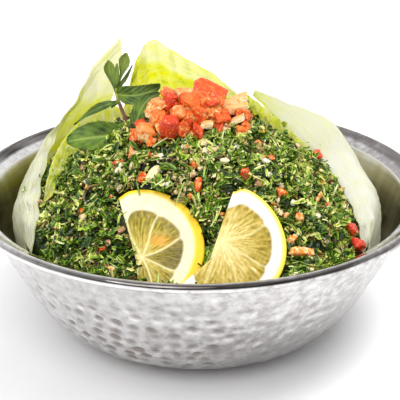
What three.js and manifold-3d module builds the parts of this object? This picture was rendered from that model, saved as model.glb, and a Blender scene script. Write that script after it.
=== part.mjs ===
// A bowl of tabbouleh salad: a hammered metal bowl filled with chopped parsley,
// bulgur and tomato, lined with three lettuce leaves, topped with diced tomato
// and a mint sprig, with two half slices of lemon leaning at the front.
// Millimetres, +Z up, origin at the centre of the bowl's foot, front towards -Y.

import * as THREE from 'three';
import { mergeVertices } from 'three/addons/utils/BufferGeometryUtils.js';
import Module from 'manifold-3d';

const wasm = await Module();
wasm.setup();

// ---------------------------------------------------------------- dimensions

const fitGap = 0.35; // clear space between pieces that touch

const bowlHeight = 72;
const bowlSides = 64;
const wallThickness = 1.6; // below the rim
const rimWallThickness = 4.7; // just under the rolled rim
const thickenFrom = 48; // heights between which the wall thickens
const thickenTo = 66;
const wallStart = new THREE.Vector2(47.5, 0); // edge of the foot
const wallPullLow = new THREE.Vector2(80.8, 6.2); // Bezier handles of the wall
const wallPullHigh = new THREE.Vector2(81.1, 24.2);
const wallEnd = new THREE.Vector2(104.1, bowlHeight - 5);
const wallShares = [0, 0.13, 0.3, 0.5, 0.74, 1]; // points of the outer wall along its curve
const sideHeights = [3.4, 8.5, 18, 32, 47]; // levels of the inner wall and of the heap's side
const underFlange = 64.5; // topmost level of the inner wall
const rimRadius = 110; // outermost, on the bead
const beadOffsets = [[-1.4, -4], [0, -2], [-0.9, -0.3], [-2.4, 0], [-4, -1.2]]; // from the rim's corner
const flangeInnerRadius = 100;
const flangeDrop = 4.4; // inner edge of the flange below the bead's top

const heapTop = 107; // crown of the bare core
const heapEdge = 60; // where the core meets the bowl
const heapReach = 90; // radius at which the crown ends
const heapRoundness = 1.8; // exponents of the crown's curve
const heapFlare = 1.4;
const reachAtLeaves = 85.6; // the core's radius where a leaf stands outside it
const stepBackFrom = 46; // turns from the front between which it narrows to that radius
const stepBackTo = 51;
const crownRings = 12;
const heapBumps = 1.9; // the crown's unevenness, up and down
const lemonDent = 11; // the crown is this much lower where the lemon leans
const dentMiddle = new THREE.Vector2(-6, -68);
const dentReach = new THREE.Vector2(38, 17);
const shredCount = 50; // parsley strips on the core
const grainCount = 18; // bulgur, onion and tomato bits on the core
const edgeMargin = 7; // strips and bits start this far inside the core's edge
const chunkThickness = 3.2;

const lemonRadius = 28.5;
const lemonThickness = 5.5;
const rindBevel = 0.9;
const faceRoom = 30; // the heap is cut away this far in front of a slice

const leafThickness = 1.2;
const leafFoot = 40; // height of a leaf's lower edge on the wall
const footGap = 1.4; // from the bowl's wall to the middle of that edge
const bellyReach = 87.6; // radius and height at which a leaf passes the heap
const bellyHeight = 60;

const diceSize = 7.5;
const toppingMiddle = new THREE.Vector2(-1.5, -12);
const toppingTurn = 19; // degrees from +X to the long way of the topping's oval
const toppingHalfLength = 27;
const toppingHalfWidth = 12;
const toppingRise = 13; // dice above the heap's crown
const moundHeight = 103; // middle of the solid mound under the dice

const goldenAngle = 137.508; // degrees between neighbours in sunflower spacing

// ------------------------------------------------------------ small helpers

// Repeatable random numbers from 0 to 1 (a linear congruential generator).
function randomFrom(seed) {
  let state = seed >>> 0;
  return () => {
    state = (Math.imul(state, 1664525) + 1013904223) >>> 0;
    return state / 4294967296;
  };
}

const lerp = THREE.MathUtils.lerp;
const smoothstep = THREE.MathUtils.smoothstep;
const point = (x, y, z) => new THREE.Vector3(x, y, z);
const degrees = THREE.MathUtils.degToRad;

// A point at a radius, a turn from +X in degrees, and a height.
function polar(radius, turn, z) {
  return point(radius * Math.cos(degrees(turn)), radius * Math.sin(degrees(turn)), z);
}

// A closed mesh as a manifold solid: only positions, shared vertices merged,
// triangles that have shrunk to a line dropped.
function toSolid(geometry) {
  const bare = geometry.index ? geometry.toNonIndexed() : geometry.clone();
  for (const name of Object.keys(bare.attributes)) {
    if (name !== 'position') bare.deleteAttribute(name);
  }
  const merged = mergeVertices(bare, 1e-4);
  const corners = merged.index.array;
  const kept = [];
  for (let i = 0; i < corners.length; i += 3) {
    const [a, b, c] = [corners[i], corners[i + 1], corners[i + 2]];
    const isFlat = a === b || b === c || c === a;
    if (!isFlat) kept.push(a, b, c);
  }
  return new wasm.Manifold(new wasm.Mesh({
    numProp: 3,
    vertProperties: new Float32Array(merged.attributes.position.array),
    triVerts: new Uint32Array(kept),
  }));
}

function toGeometry(solid) {
  const mesh = solid.getMesh();
  const geometry = new THREE.BufferGeometry();
  geometry.setAttribute('position', new THREE.BufferAttribute(new Float32Array(mesh.vertProperties), 3));
  geometry.setIndex(new THREE.BufferAttribute(new Uint32Array(mesh.triVerts), 1));
  geometry.computeVertexNormals();
  return geometry;
}

const union = (solids) => solids.reduce((sum, solid) => sum.add(solid));

// The largest of the separate bodies that a cut can leave.
function largestBody(solid) {
  const bodies = solid.decompose();
  return bodies.reduce((best, body) => (body.volume() > best.volume() ? body : best));
}

// A closed grid: rows of equal length, each row a ring around, with the first
// and last row drawn together on one point each.
function closedRings(rings, firstPole, lastPole) {
  const count = rings[0].length;
  const positions = [firstPole, ...rings.flat(), lastPole].flatMap((p) => [p.x, p.y, p.z]);
  const last = rings.length * count + 1;
  const faces = [];
  for (let i = 0; i < count; i += 1) {
    const next = (i + 1) % count;
    faces.push(0, 1 + next, 1 + i);
    for (let j = 0; j < rings.length - 1; j += 1) {
      const low = 1 + j * count;
      const high = low + count;
      faces.push(low + i, low + next, high + next, low + i, high + next, high + i);
    }
    const top = 1 + (rings.length - 1) * count;
    faces.push(top + i, top + next, last);
  }
  const geometry = new THREE.BufferGeometry();
  geometry.setAttribute('position', new THREE.Float32BufferAttribute(positions, 3));
  geometry.setIndex(faces);
  return geometry;
}

// A thin sheet around a surface(u, v), u and v from 0 to 1: both faces have
// the same triangles, and a wall runs round the edge. grow widens it all round.
function sheet(surface, uSteps, vSteps, thickness, grow) {
  const small = 1e-3;
  const front = [];
  const back = [];
  for (let j = 0; j <= vSteps; j += 1) {
    for (let i = 0; i <= uSteps; i += 1) {
      const u = i / uSteps;
      const v = j / vSteps;
      const middle = surface(u, v);
      const alongU = surface(Math.min(u + small, 1), v).sub(surface(Math.max(u - small, 0), v));
      const alongV = surface(u, Math.min(v + small, 1)).sub(surface(u, Math.max(v - small, 0)));
      const normal = alongU.clone().cross(alongV).setLength(thickness / 2 + grow);
      const outwards = (step, steps) => (step === steps ? 1 : 0) - (step === 0 ? 1 : 0);
      middle.addScaledVector(alongU.normalize(), grow * outwards(i, uSteps));
      middle.addScaledVector(alongV.normalize(), grow * outwards(j, vSteps));
      front.push(middle.clone().add(normal));
      back.push(middle.clone().sub(normal));
    }
  }
  const row = uSteps + 1;
  const offset = front.length;
  const faces = [];
  for (let j = 0; j < vSteps; j += 1) {
    for (let i = 0; i < uSteps; i += 1) {
      const a = j * row + i;
      const b = a + 1;
      const c = a + row + 1;
      const d = a + row;
      faces.push(a, b, c, a, c, d);
      faces.push(offset + a, offset + c, offset + b, offset + a, offset + d, offset + c);
    }
  }
  const wall = (a, b) => faces.push(a, offset + a, offset + b, a, offset + b, b);
  for (let i = 0; i < uSteps; i += 1) {
    wall(i, i + 1);
    wall(vSteps * row + i + 1, vSteps * row + i);
  }
  for (let j = 0; j < vSteps; j += 1) {
    wall((j + 1) * row, j * row);
    wall(j * row + uSteps, (j + 1) * row + uSteps);
  }
  const positions = [...front, ...back].flatMap((p) => [p.x, p.y, p.z]);
  const geometry = new THREE.BufferGeometry();
  geometry.setAttribute('position', new THREE.Float32BufferAttribute(positions, 3));
  geometry.setIndex(faces);
  return toSolid(geometry);
}

// ---------------------------------------------------------------------- bowl

const wallCurve = new THREE.CubicBezierCurve(wallStart, wallPullLow, wallPullHigh, wallEnd);

// Radius of the bowl's outside at a height, found by halving the curve.
function outerRadius(z) {
  let low = 0;
  let high = 1;
  for (let step = 0; step < 30; step += 1) {
    const middle = (low + high) / 2;
    if (wallCurve.getPoint(middle).y < z) {
      low = middle;
    } else {
      high = middle;
    }
  }
  return wallCurve.getPoint(low).x;
}

// Radius of the bowl's inside: the wall thickens towards the rolled rim.
function innerRadius(z) {
  const thick = lerp(wallThickness, rimWallThickness, smoothstep(z, thickenFrom, thickenTo));
  return outerRadius(z) - thick;
}

// A profile turned about the axis: up the outside, round the rolled bead, over
// the flange and down the inside. grow thickens the wall inwards.
function makeBowl(grow = 0) {
  const floor = wallThickness + grow;
  const profile = [
    new THREE.Vector2(0, 0),
    ...wallShares.map((share) => wallCurve.getPoint(share)),
    ...beadOffsets.map(([out, up]) => new THREE.Vector2(rimRadius + out, bowlHeight + up)),
    new THREE.Vector2(flangeInnerRadius, bowlHeight - flangeDrop),
    ...[underFlange, heapEdge, ...sideHeights.toReversed()]
      .map((z) => new THREE.Vector2(innerRadius(z) - grow, z)),
    new THREE.Vector2(wallStart.x - 4, floor),
    new THREE.Vector2(0, floor),
  ];
  // the lathe turns about Y, so it is laid over to stand on Z
  const lathe = new THREE.LatheGeometry(profile, bowlSides);
  lathe.rotateX(Math.PI / 2);
  return toSolid(lathe);
}

// ---------------------------------------------------------------------- heap

// Height of the salad's crown over a place: a round dome that flares out to
// the bowl, pressed in at the front where the lemon slices lean.
function crown(x, y) {
  const share = Math.min(Math.hypot(x, y) / heapReach, 1);
  const dome = heapEdge + (heapTop - heapEdge) * (1 - share ** heapRoundness) ** heapFlare;
  const across = ((x - dentMiddle.x) / dentReach.x) ** 2;
  const along = ((y - dentMiddle.y) / dentReach.y) ** 2;
  return dome - lemonDent * Math.exp(-across - along);
}

// How far the core reaches out at a height. It fills the bowl at the front,
// and stands back inside the leaves from the right round to the left.
function coreReach(turn, z) {
  const full = innerRadius(z) - fitGap;
  const fromFront = Math.abs(THREE.MathUtils.euclideanModulo(turn + 90 + 180, 360) - 180);
  return lerp(full, Math.min(full, reachAtLeaves), smoothstep(fromFront, stepBackFrom, stepBackTo));
}

// The bare core with its crown and sides moved out by a margin. Its sides
// stand clear of the bowl, and its crown has a bump at each grid point, lower
// towards the top.
function heapCore(margin) {
  const random = randomFrom(19);
  const ring = (place) => Array.from({ length: bowlSides }, (_, i) => place((360 * i) / bowlSides));
  const rings = [...sideHeights, heapEdge].map((z) => ring(
    (turn) => polar(coreReach(turn, z) + margin, turn, z + fitGap + margin),
  ));
  for (let step = 1; step < crownRings; step += 1) {
    const share = 1 - step / crownRings;
    rings.push(ring((turn) => {
      const edge = coreReach(turn, heapEdge);
      const place = polar(edge * share, turn, 0);
      const bump = heapBumps * smoothstep(share, 0.1, 0.5) * (2 * random() - 1);
      return polar((edge + margin) * share, turn, crown(place.x, place.y) + bump + margin);
    }));
  }
  const floor = wallThickness + fitGap;
  return toSolid(closedRings(rings, point(0, 0, floor), point(0, 0, heapTop + margin)));
}

// -------------------------------------------------------------------- lemons

const lemons = {
  lemon_left: { centre: point(-25, -64.4, 65.4), facing: -5, lean: 42.5, from: -88, to: 114 },
  lemon_right: { centre: point(10, -72.1, 72.2), facing: 15, lean: 44.5, from: -142, to: 66 },
};

// A half slice: an arc and two straight cuts that meet at the core. Its cut
// face lies in z = 0, looking up, and is then leaned back against the heap.
// grow widens it all round, and front reaches out over the face.
function lemonSlice({ centre, facing, lean, from, to }, grow = 0, front = 0) {
  const radius = lemonRadius - rindBevel + grow;
  const widened = grow > 0 ? 2 : 0;
  const first = degrees(from - widened);
  const last = degrees(to + widened);
  const middle = (first + last) / 2;
  const shape = new THREE.Shape();
  shape.moveTo(-2 * grow * Math.cos(middle), -2 * grow * Math.sin(middle));
  shape.lineTo(radius * Math.cos(first), radius * Math.sin(first));
  shape.absarc(0, 0, radius, first, last, false);
  shape.closePath();
  const geometry = new THREE.ExtrudeGeometry(shape, {
    depth: lemonThickness - 2 * rindBevel + grow + front,
    curveSegments: 24,
    bevelThickness: rindBevel,
    bevelSize: rindBevel,
    bevelSegments: 1,
  });
  geometry.translate(0, 0, rindBevel - lemonThickness - grow);
  geometry.rotateX(degrees(lean));
  geometry.rotateZ(degrees(facing));
  geometry.translate(centre.x, centre.y, centre.z);
  return toSolid(geometry);
}

// ------------------------------------------------------------------- lettuce

// Each leaf stands on the bowl's wall outside the heap. lip is its free edge,
// crest the line where it turns over, and foot the turns between which its
// lower edge stands. ripple is the depth and number of its waves.
const leaves = {
  lettuce_right: {
    lip: [point(73, -53, 58), point(72, -36, 66), point(68, -19, 72.5), point(60, -1, 80.5),
      point(46, 9, 91), point(36, 19, 98.5), point(27, 27, 105.5)],
    crest: [point(76.5, -47, 60), point(80.5, -29, 67), point(80.5, -8, 73.5), point(73, 10, 81),
      point(65, 22, 93), point(48, 34, 96.5), point(31, 37, 102)],
    foot: [-38, 56],
    ripple: [0.9, 9],
  },
  lettuce_back: {
    lip: [point(20, 41, 101), point(8, 43, 111), point(-4, 43, 118), point(-14, 43, 124),
      point(-22.5, 42, 129), point(-29, 41, 122), point(-33, 41, 111)],
    crest: [point(24, 48, 92), point(9, 50, 98), point(-3, 51, 103), point(-12, 51, 107),
      point(-22, 50, 110), point(-30, 48, 106), point(-36, 47, 98)],
    foot: [61, 117],
    ripple: [1.1, 7],
  },
  lettuce_left: {
    lip: [point(-38, 40, 131), point(-52, 39, 116), point(-60, 37, 101), point(-68, 32, 88.5),
      point(-73, 17, 79.5), point(-74.5, -8, 71.5), point(-72.5, -32, 67), point(-73, -53, 58)],
    crest: [point(-39, 43, 116), point(-52, 43, 104), point(-63, 41, 92), point(-74, 30, 83),
      point(-80.5, 12, 74), point(-81.5, -7, 69), point(-80, -27, 65), point(-76.5, -47, 60)],
    foot: [123, 216],
    ripple: [0.9, 9],
  },
};

// The leaf's middle surface: across it a smooth line runs from the lip over
// the crest and down outside the heap to the foot; small waves run along it.
function leafSurface({ lip, crest, foot, ripple }) {
  const lipCurve = new THREE.CatmullRomCurve3(lip);
  const crestCurve = new THREE.CatmullRomCurve3(crest);
  return (u, v) => {
    const top = lipCurve.getPoint(u);
    const over = crestCurve.getPoint(u);
    const turn = lerp(foot[0], foot[1], u);
    const base = polar(innerRadius(leafFoot) - footGap, turn, leafFoot);
    const overTurn = THREE.MathUtils.radToDeg(Math.atan2(over.y, over.x));
    const bellyTurn = THREE.MathUtils.euclideanModulo(overTurn - turn + 180, 360) - 180;
    const belly = polar(bellyReach, turn + bellyTurn / 2, bellyHeight);
    const across = new THREE.CatmullRomCurve3([top, over, belly, base]);
    const place = across.getPoint(v);
    const nearLip = smoothstep(1 - v, 0.35, 0.8);
    const wave = ripple[0] * nearLip * Math.sin(2 * Math.PI * ripple[1] * u + 3 * v);
    return place.add(point(place.x, place.y, 0).setLength(wave));
  };
}

function lettuceLeaf(leaf, grow = 0) {
  return sheet(leafSurface(leaf), 19, 7, leafThickness, grow);
}

// ---------------------------------------------------------------------- mint

const mintStem = [point(-28, -5, 86), point(-32, -1, 98), point(-36, 2, 107), point(-38, 3, 113),
  point(-38.6, 4, 117)];
const stemRadius = 0.9;
const bladeThickness = 0.7;

// Each leaf blade: base and tip, the way its midrib bows, its half width, and
// the way that its flat side looks.
const mintLeaves = [
  {
    base: point(-31.6, -1.8, 96.8), tip: point(-60.5, -7, 95),
    bow: point(0, 0, 0.6), half: 6.3, look: point(0, -1, 0.8),
  },
  {
    base: point(-37, 2.2, 109.5), tip: point(-58.5, 4, 97.8),
    bow: point(0, 0, 1.4), half: 2, look: point(0.3, -0.3, 1),
  },
  {
    base: point(-37.6, 3, 113), tip: point(-18.5, 6, 114),
    bow: point(0, 0, -1.5), half: 4, look: point(0, -1, 0.5),
  },
  {
    base: point(-32.6, 0, 99.5), tip: point(-16.5, 10, 113),
    bow: point(-2.5, 0, 3.5), half: 2.8, look: point(-0.6, -1, 0.4),
  },
  {
    base: point(-38.4, 3.6, 115.5), tip: point(-41.5, 7, 129),
    bow: point(-1.5, 0, 0), half: 2.3, look: point(0.4, -1, 0),
  },
  {
    base: point(-38.3, 4, 116), tip: point(-33, 7, 132.5),
    bow: point(1, 0, 0), half: 2.6, look: point(-0.4, -1, 0),
  },
  {
    base: point(-38.2, 4.4, 115.8), tip: point(-30.5, 8, 127.5),
    bow: point(0, 0, -1.5), half: 1.2, look: point(0.3, -1, 0.3),
  },
];

// A blade: its half width swells from the stalk and narrows to the tip, and its
// two sides rise a little from the midrib.
function mintBlade({ base, tip, bow, half, look }, grow) {
  const along = tip.clone().sub(base).normalize();
  const side = new THREE.Vector3().crossVectors(look, along).normalize();
  const up = new THREE.Vector3().crossVectors(along, side).normalize();
  const surface = (u, v) => {
    const swell = 0.16 + 0.84 * Math.sin(Math.PI * u ** 0.8) ** 0.7;
    const broad = half * swell * (1 - 0.35 * u ** 6);
    const across = 2 * v - 1;
    return base.clone().lerp(tip, u)
      .addScaledVector(bow, 4 * u * (1 - u))
      .addScaledVector(side, across * broad)
      .addScaledVector(up, 0.22 * half * across * across);
  };
  return sheet(surface, 6, 2, bladeThickness, grow);
}

// The stem with all its blades. grow widens it all round and carries the stem
// further down.
function mintSprig(grow = 0) {
  const lowEnd = mintStem[0].clone();
  lowEnd.z -= 2 * grow;
  const section = new THREE.Shape();
  section.absarc(0, 0, stemRadius + grow, 0, 2 * Math.PI, false);
  const stem = new THREE.ExtrudeGeometry(section, {
    steps: 7,
    curveSegments: 6,
    extrudePath: new THREE.CatmullRomCurve3([lowEnd, ...mintStem.slice(1)]),
  });
  return union([toSolid(stem), ...mintLeaves.map((blade) => mintBlade(blade, grow))]);
}

// ------------------------------------------------------------ tomato topping

// A die of tomato: a box whose corners are pushed in and out by up to a fifth.
function die(size, random) {
  const bare = new THREE.BoxGeometry(size.x, size.y, size.z);
  bare.deleteAttribute('normal');
  bare.deleteAttribute('uv');
  const box = mergeVertices(bare);
  const corners = box.attributes.position;
  const push = () => 0.82 + 0.36 * random();
  for (let i = 0; i < corners.count; i += 1) {
    corners.setXYZ(i, corners.getX(i) * push(), corners.getY(i) * push(), corners.getZ(i) * push());
  }
  return box;
}

// Pieces that stand out on the topping: size, place and turns in degrees.
const standouts = [
  { size: point(15, 9, 4.6), place: point(4.5, -6, 119.5), turns: [24, 8, 34] },
  { size: point(19, 5.5, 5), place: point(17, -9, 114), turns: [0, -16, 8] },
  { size: point(10.5, 9.5, 11), place: point(-12.5, -25, 107), turns: [10, 12, 20] },
  { size: point(11, 8, 8), place: point(-23, -24, 103), turns: [30, 0, 10] },
  { size: point(10, 9, 9), place: point(-5.5, -9, 116), turns: [20, 15, 40] },
  { size: point(9, 8, 12), place: point(-20, -15, 111), turns: [0, 14, 10] },
];

// Layers of dice: share of the oval that they cover, height as a share of the
// rise, and number of dice.
const diceLayers = [
  { reach: 1, height: 0.22, count: 15 },
  { reach: 0.76, height: 0.62, count: 8 },
  { reach: 0.45, height: 0.9, count: 4 },
];

// Dice lie in layers over an oval that runs from the left front to the right,
// in sunflower spacing, on a solid mound that joins them.
function tomatoTopping() {
  const random = randomFrom(41);
  const ovalTurn = degrees(toppingTurn);
  const pieces = [];
  const addDie = (size, place, turns) => {
    const geometry = die(size, random);
    geometry.applyMatrix4(new THREE.Matrix4().makeRotationFromEuler(new THREE.Euler(...turns)));
    geometry.translate(place.x, place.y, place.z);
    pieces.push(toSolid(geometry));
  };
  for (const { reach, height, count } of diceLayers) {
    for (let i = 0; i < count; i += 1) {
      const out = Math.sqrt((i + 0.5) / count) * reach;
      const turn = degrees(i * goldenAngle);
      const along = toppingHalfLength * out * Math.cos(turn);
      const aside = toppingHalfWidth * out * Math.sin(turn);
      const x = toppingMiddle.x + along * Math.cos(ovalTurn) - aside * Math.sin(ovalTurn);
      const y = toppingMiddle.y + along * Math.sin(ovalTurn) + aside * Math.cos(ovalTurn);
      const z = crown(x, y) + toppingRise * height;
      const edge = diceSize * (0.8 + 0.45 * random());
      const size = point(edge * (0.9 + 0.3 * random()), edge, edge * (0.7 + 0.3 * random()));
      const turns = [random(), random(), random()].map((share) => 2 * Math.PI * share);
      addDie(size, point(x, y, z), turns);
    }
  }
  for (const { size, place, turns } of standouts) {
    addDie(size, place, turns.map(degrees));
  }
  const mound = new THREE.SphereGeometry(1, 10, 6);
  mound.scale(toppingHalfLength * 0.9, toppingHalfWidth * 0.85, toppingRise * 0.85);
  mound.rotateZ(ovalTurn);
  mound.translate(toppingMiddle.x, toppingMiddle.y, moundHeight);
  return union([toSolid(mound), ...pieces]);
}

// ------------------------------------------------------------ heap's surface

// A shred of parsley: a short flat strip, bent in the middle.
function shred(random) {
  const length = 6 + 4.5 * random();
  const width = 1.9 + 1.3 * random();
  const strip = new THREE.BoxGeometry(length, width, 1.1, 2, 1, 1);
  const places = strip.attributes.position;
  const bend = 0.8 + 1.4 * random();
  for (let i = 0; i < places.count; i += 1) {
    const share = 2 * places.getX(i) / length;
    places.setZ(i, places.getZ(i) - bend * share * share);
    places.setY(i, places.getY(i) * (1 - 0.45 * Math.abs(share)));
  }
  return strip;
}

// A bit of bulgur, onion or tomato: a rough lump with eight faces.
function grain(random) {
  const lump = new THREE.OctahedronGeometry(1.5 + 0.9 * random());
  lump.scale(1, 0.8, 0.7);
  return lump;
}

// Larger chunks of tomato and onion on the salad: place from above, length,
// width and turn in degrees.
const chunks = [
  { x: -41, y: -28, length: 7, width: 3.5, turn: 10 },
  { x: -48, y: -33.5, length: 4.5, width: 4, turn: 30 },
  { x: -22, y: -40.6, length: 5.5, width: 5, turn: 0 },
  { x: -17, y: -37, length: 7, width: 4.5, turn: 60 },
  { x: 0.4, y: -45.5, length: 4, width: 3.5, turn: 20 },
  { x: 21, y: -38.5, length: 4.5, width: 4, turn: 45 },
  { x: 55, y: -5, length: 4.5, width: 4.5, turn: 0 },
  { x: 66.5, y: -43, length: 6, width: 4.5, turn: 70 },
  { x: 47, y: -62.5, length: 15, width: 4, turn: 12 },
];

// A chunk lies on the crown, tilted as the crown is there.
function chunkSolid({ x, y, length, width, turn }, random) {
  const geometry = die(point(length, width, chunkThickness), random);
  geometry.rotateZ(degrees(turn));
  geometry.rotateX(Math.atan2(crown(x, y + 1) - crown(x, y - 1), 2));
  geometry.rotateY(-Math.atan2(crown(x + 1, y) - crown(x - 1, y), 2));
  geometry.translate(x, y, crown(x, y) + 1);
  return toSolid(geometry);
}

// The core with shreds and grains over its crown. Sunflower spacing spreads
// them evenly, the larger shreds come first, and one that would cross the
// bowl or another piece is left out.
function dressedHeap(core, keepOut) {
  const random = randomFrom(7);
  const added = chunks.map((chunk) => chunkSolid(chunk, random));
  const total = shredCount + grainCount;
  for (let i = 0; i < total; i += 1) {
    const isShred = (i * shredCount) % total < shredCount;
    const turn = i * goldenAngle;
    const radius = (coreReach(turn, heapEdge) - edgeMargin) * Math.sqrt((i + 0.5) / total);
    const place = polar(radius, turn, 0);
    const out = polar(radius + 2, turn, 0);
    const slope = Math.atan2(crown(out.x, out.y) - crown(place.x, place.y), 2);
    const geometry = isShred ? shred(random) : grain(random);
    geometry.rotateZ(random() * Math.PI);
    geometry.rotateX((random() - 0.5) * 1.1);
    geometry.rotateY(-slope + (random() - 0.5) * 1.1);
    geometry.rotateZ(degrees(turn));
    geometry.translate(place.x, place.y, crown(place.x, place.y) + 1.3 + 0.8 * random());
    const piece = toSolid(geometry);
    if (piece.intersect(keepOut).isEmpty()) added.push(piece);
  }
  return largestBody(union([core, ...added]));
}

// ------------------------------------------------------------------ assembly

const group = new THREE.Group();

function addNode(name, solid, color, roughness, metalness = 0) {
  const material = new THREE.MeshStandardMaterial({ color, roughness, metalness });
  const mesh = new THREE.Mesh(toGeometry(solid), material);
  mesh.name = name;
  group.add(mesh);
}

const leafNames = Object.keys(leaves);
const grownLeaves = union(leafNames.map((name) => lettuceLeaf(leaves[name], 1.4 * fitGap)));
const grownMint = mintSprig(2 * fitGap);
const grownCore = heapCore(fitGap);
const lemonRoom = union(Object.values(lemons).map((slice) => lemonSlice(slice, fitGap, faceRoom)));

const core = largestBody(heapCore(0).subtract(lemonRoom).subtract(grownLeaves).subtract(grownMint));
const topping = largestBody(tomatoTopping().subtract(grownCore).subtract(grownLeaves).subtract(grownMint));
const keepOut = union([lemonRoom, grownLeaves, grownMint, tomatoTopping(), makeBowl(fitGap)]);

addNode('bowl', makeBowl(), 0xc9cacb, 0.28, 1);
addNode('tabbouleh', dressedHeap(core, keepOut), 0x2f6b22, 0.6);
addNode('tomato_topping', topping, 0xe0512e, 0.35);
for (const name of leafNames) {
  addNode(name, lettuceLeaf(leaves[name]), 0xc9dc8a, 0.5);
}
addNode('mint_sprig', mintSprig(), 0x2c6a2c, 0.5);
addNode('lemon_left', lemonSlice(lemons.lemon_left), 0xd9cf5a, 0.35);
addNode('lemon_right', lemonSlice(lemons.lemon_right), 0xe6dc74, 0.35);

export default group;
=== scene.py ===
import math

import bpy
import numpy as np
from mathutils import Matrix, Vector


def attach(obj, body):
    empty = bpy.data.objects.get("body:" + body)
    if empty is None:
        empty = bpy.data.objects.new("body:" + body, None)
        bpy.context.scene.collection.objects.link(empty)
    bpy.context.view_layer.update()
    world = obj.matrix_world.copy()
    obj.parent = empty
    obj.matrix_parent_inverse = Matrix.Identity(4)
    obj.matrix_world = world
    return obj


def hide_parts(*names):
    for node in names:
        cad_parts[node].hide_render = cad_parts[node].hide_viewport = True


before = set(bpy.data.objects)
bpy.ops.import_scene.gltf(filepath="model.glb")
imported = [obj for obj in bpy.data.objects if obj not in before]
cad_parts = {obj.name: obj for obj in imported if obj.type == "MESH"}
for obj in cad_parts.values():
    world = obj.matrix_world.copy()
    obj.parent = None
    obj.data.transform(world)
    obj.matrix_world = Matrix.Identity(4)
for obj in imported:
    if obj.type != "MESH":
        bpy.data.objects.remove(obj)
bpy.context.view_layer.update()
mm = 0.001  # shapes are worked out in millimetres, +Z up, front towards -Y
print("frame loaded:", ", ".join(sorted(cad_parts)))

cameraSetup = {"target": (1.15, 0.0, 60.5), "distance": 500.0, "elevation": 23.5, "lens": 92.5}


# The camera stands at target + distance * (0, -cos, sin) of the elevation and looks at the target.
def placeCamera(setup):
    tilt = math.radians(setup["elevation"])
    target = Vector(setup["target"]) * mm
    back = Vector((0, -math.cos(tilt), math.sin(tilt)))
    data = bpy.data.cameras.new("camera")
    data.lens = setup["lens"]
    camera = bpy.data.objects.new("camera", data)
    camera.location = target + back * setup["distance"] * mm
    camera.rotation_mode = "QUATERNION"
    camera.rotation_quaternion = (-back).to_track_quat("-Z", "Y")
    bpy.context.scene.collection.objects.link(camera)
    bpy.context.scene.camera = camera


placeCamera(cameraSetup)
bpy.context.scene.view_settings.view_transform = "Standard"


# Quads of a grid of point numbers, row by row; wrap joins the last column to the first.
def gridQuads(index, wrap=False):
    if wrap:
        index = np.column_stack([index, index[:, :1]])
    corners = [index[:-1, :-1], index[:-1, 1:], index[1:, 1:], index[1:, :-1]]
    return np.stack(corners, axis=-1).reshape(-1, 4)


# Faces of a closed body of rings: point 0 is the first pole, then the rings, then the last pole.
def ringFaces(ringCount, columns):
    index = 1 + np.arange(ringCount * columns).reshape(ringCount, columns)
    last = ringCount * columns + 1
    first, end = index[0], index[-1]
    lowFan = np.column_stack([np.zeros(columns, int), np.roll(first, -1), first])
    highFan = np.column_stack([end, np.roll(end, -1), np.full(columns, last)])
    return [gridQuads(index, wrap=True), np.vstack([lowFan, highFan])]


# Points of such a body: rings is an array of ring, column and x y z.
def ringPoints(rings, firstPole, lastPole):
    return np.vstack([np.reshape(firstPole, (1, 3)), rings.reshape(-1, 3), np.reshape(lastPole, (1, 3))])


# The same faces for every one of count copies that follow each other in the point list.
def repeatFaces(faceArrays, count, pointCount):
    shift = (np.arange(count) * pointCount)[:, None, None]
    return [(faces[None] + shift).reshape(-1, faces.shape[1]) for faces in faceArrays]


# A closed thin sheet round a grid of middle points: each face lies half the thickness out along the
# normal, the cross product of the grid's two directions, and a wall joins the faces round the edge.
def thickSheet(middle, thickness):
    normal = unit(np.cross(np.gradient(middle, axis=1), np.gradient(middle, axis=0)))
    rows, columns = middle.shape[:2]
    step = normal * (np.broadcast_to(thickness, (rows, columns))[..., None] / 2)
    index = np.arange(rows * columns).reshape(rows, columns)
    quads = gridQuads(index)
    ring = np.concatenate([index[0, :-1], index[:-1, -1], index[-1, :0:-1], index[:0:-1, 0]])
    follow = np.roll(ring, -1)
    walls = np.column_stack([follow, ring, ring + index.size, follow + index.size])
    points = np.vstack([(middle + step).reshape(-1, 3), (middle - step).reshape(-1, 3)])
    return points, [np.vstack([quads, quads[:, ::-1] + index.size, walls])]


# A sheet's numbers by label, the same on both of its faces.
def sheetValues(**grids):
    return {label: np.tile(grid.ravel(), 2) for label, grid in grids.items()}


# A sheet's UV map: (along, across) on both of its faces.
def sheetUv(along, across):
    return np.tile(np.column_stack([along.ravel(), across.ravel()]), (2, 1))


# Joins several bodies' points, faces and values into one piece's, each body's faces shifted by the
# number of points before it.
def joinBodies(bodies):
    points, values, bySize, shift = [], [], {}, 0
    for bodyPoints, bodyFaces, bodyValues in bodies:
        points.append(bodyPoints)
        values.append(bodyValues)
        for faces in bodyFaces:
            bySize.setdefault(faces.shape[1], []).append(faces + shift)
        shift += len(bodyPoints)
    return np.vstack(points), [np.vstack(group) for group in bySize.values()], np.concatenate(values)


# Six times the signed volume: the sum of a . (b x c) over each face's fan of triangles.
def signedVolume(points, faceArrays):
    total = 0.0
    for faces in faceArrays:
        for k in range(1, faces.shape[1] - 1):
            a, b, c = points[faces[:, 0]], points[faces[:, k]], points[faces[:, k + 1]]
            total += np.einsum("ij,ij->", a, np.cross(b, c))
    return total


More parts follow.
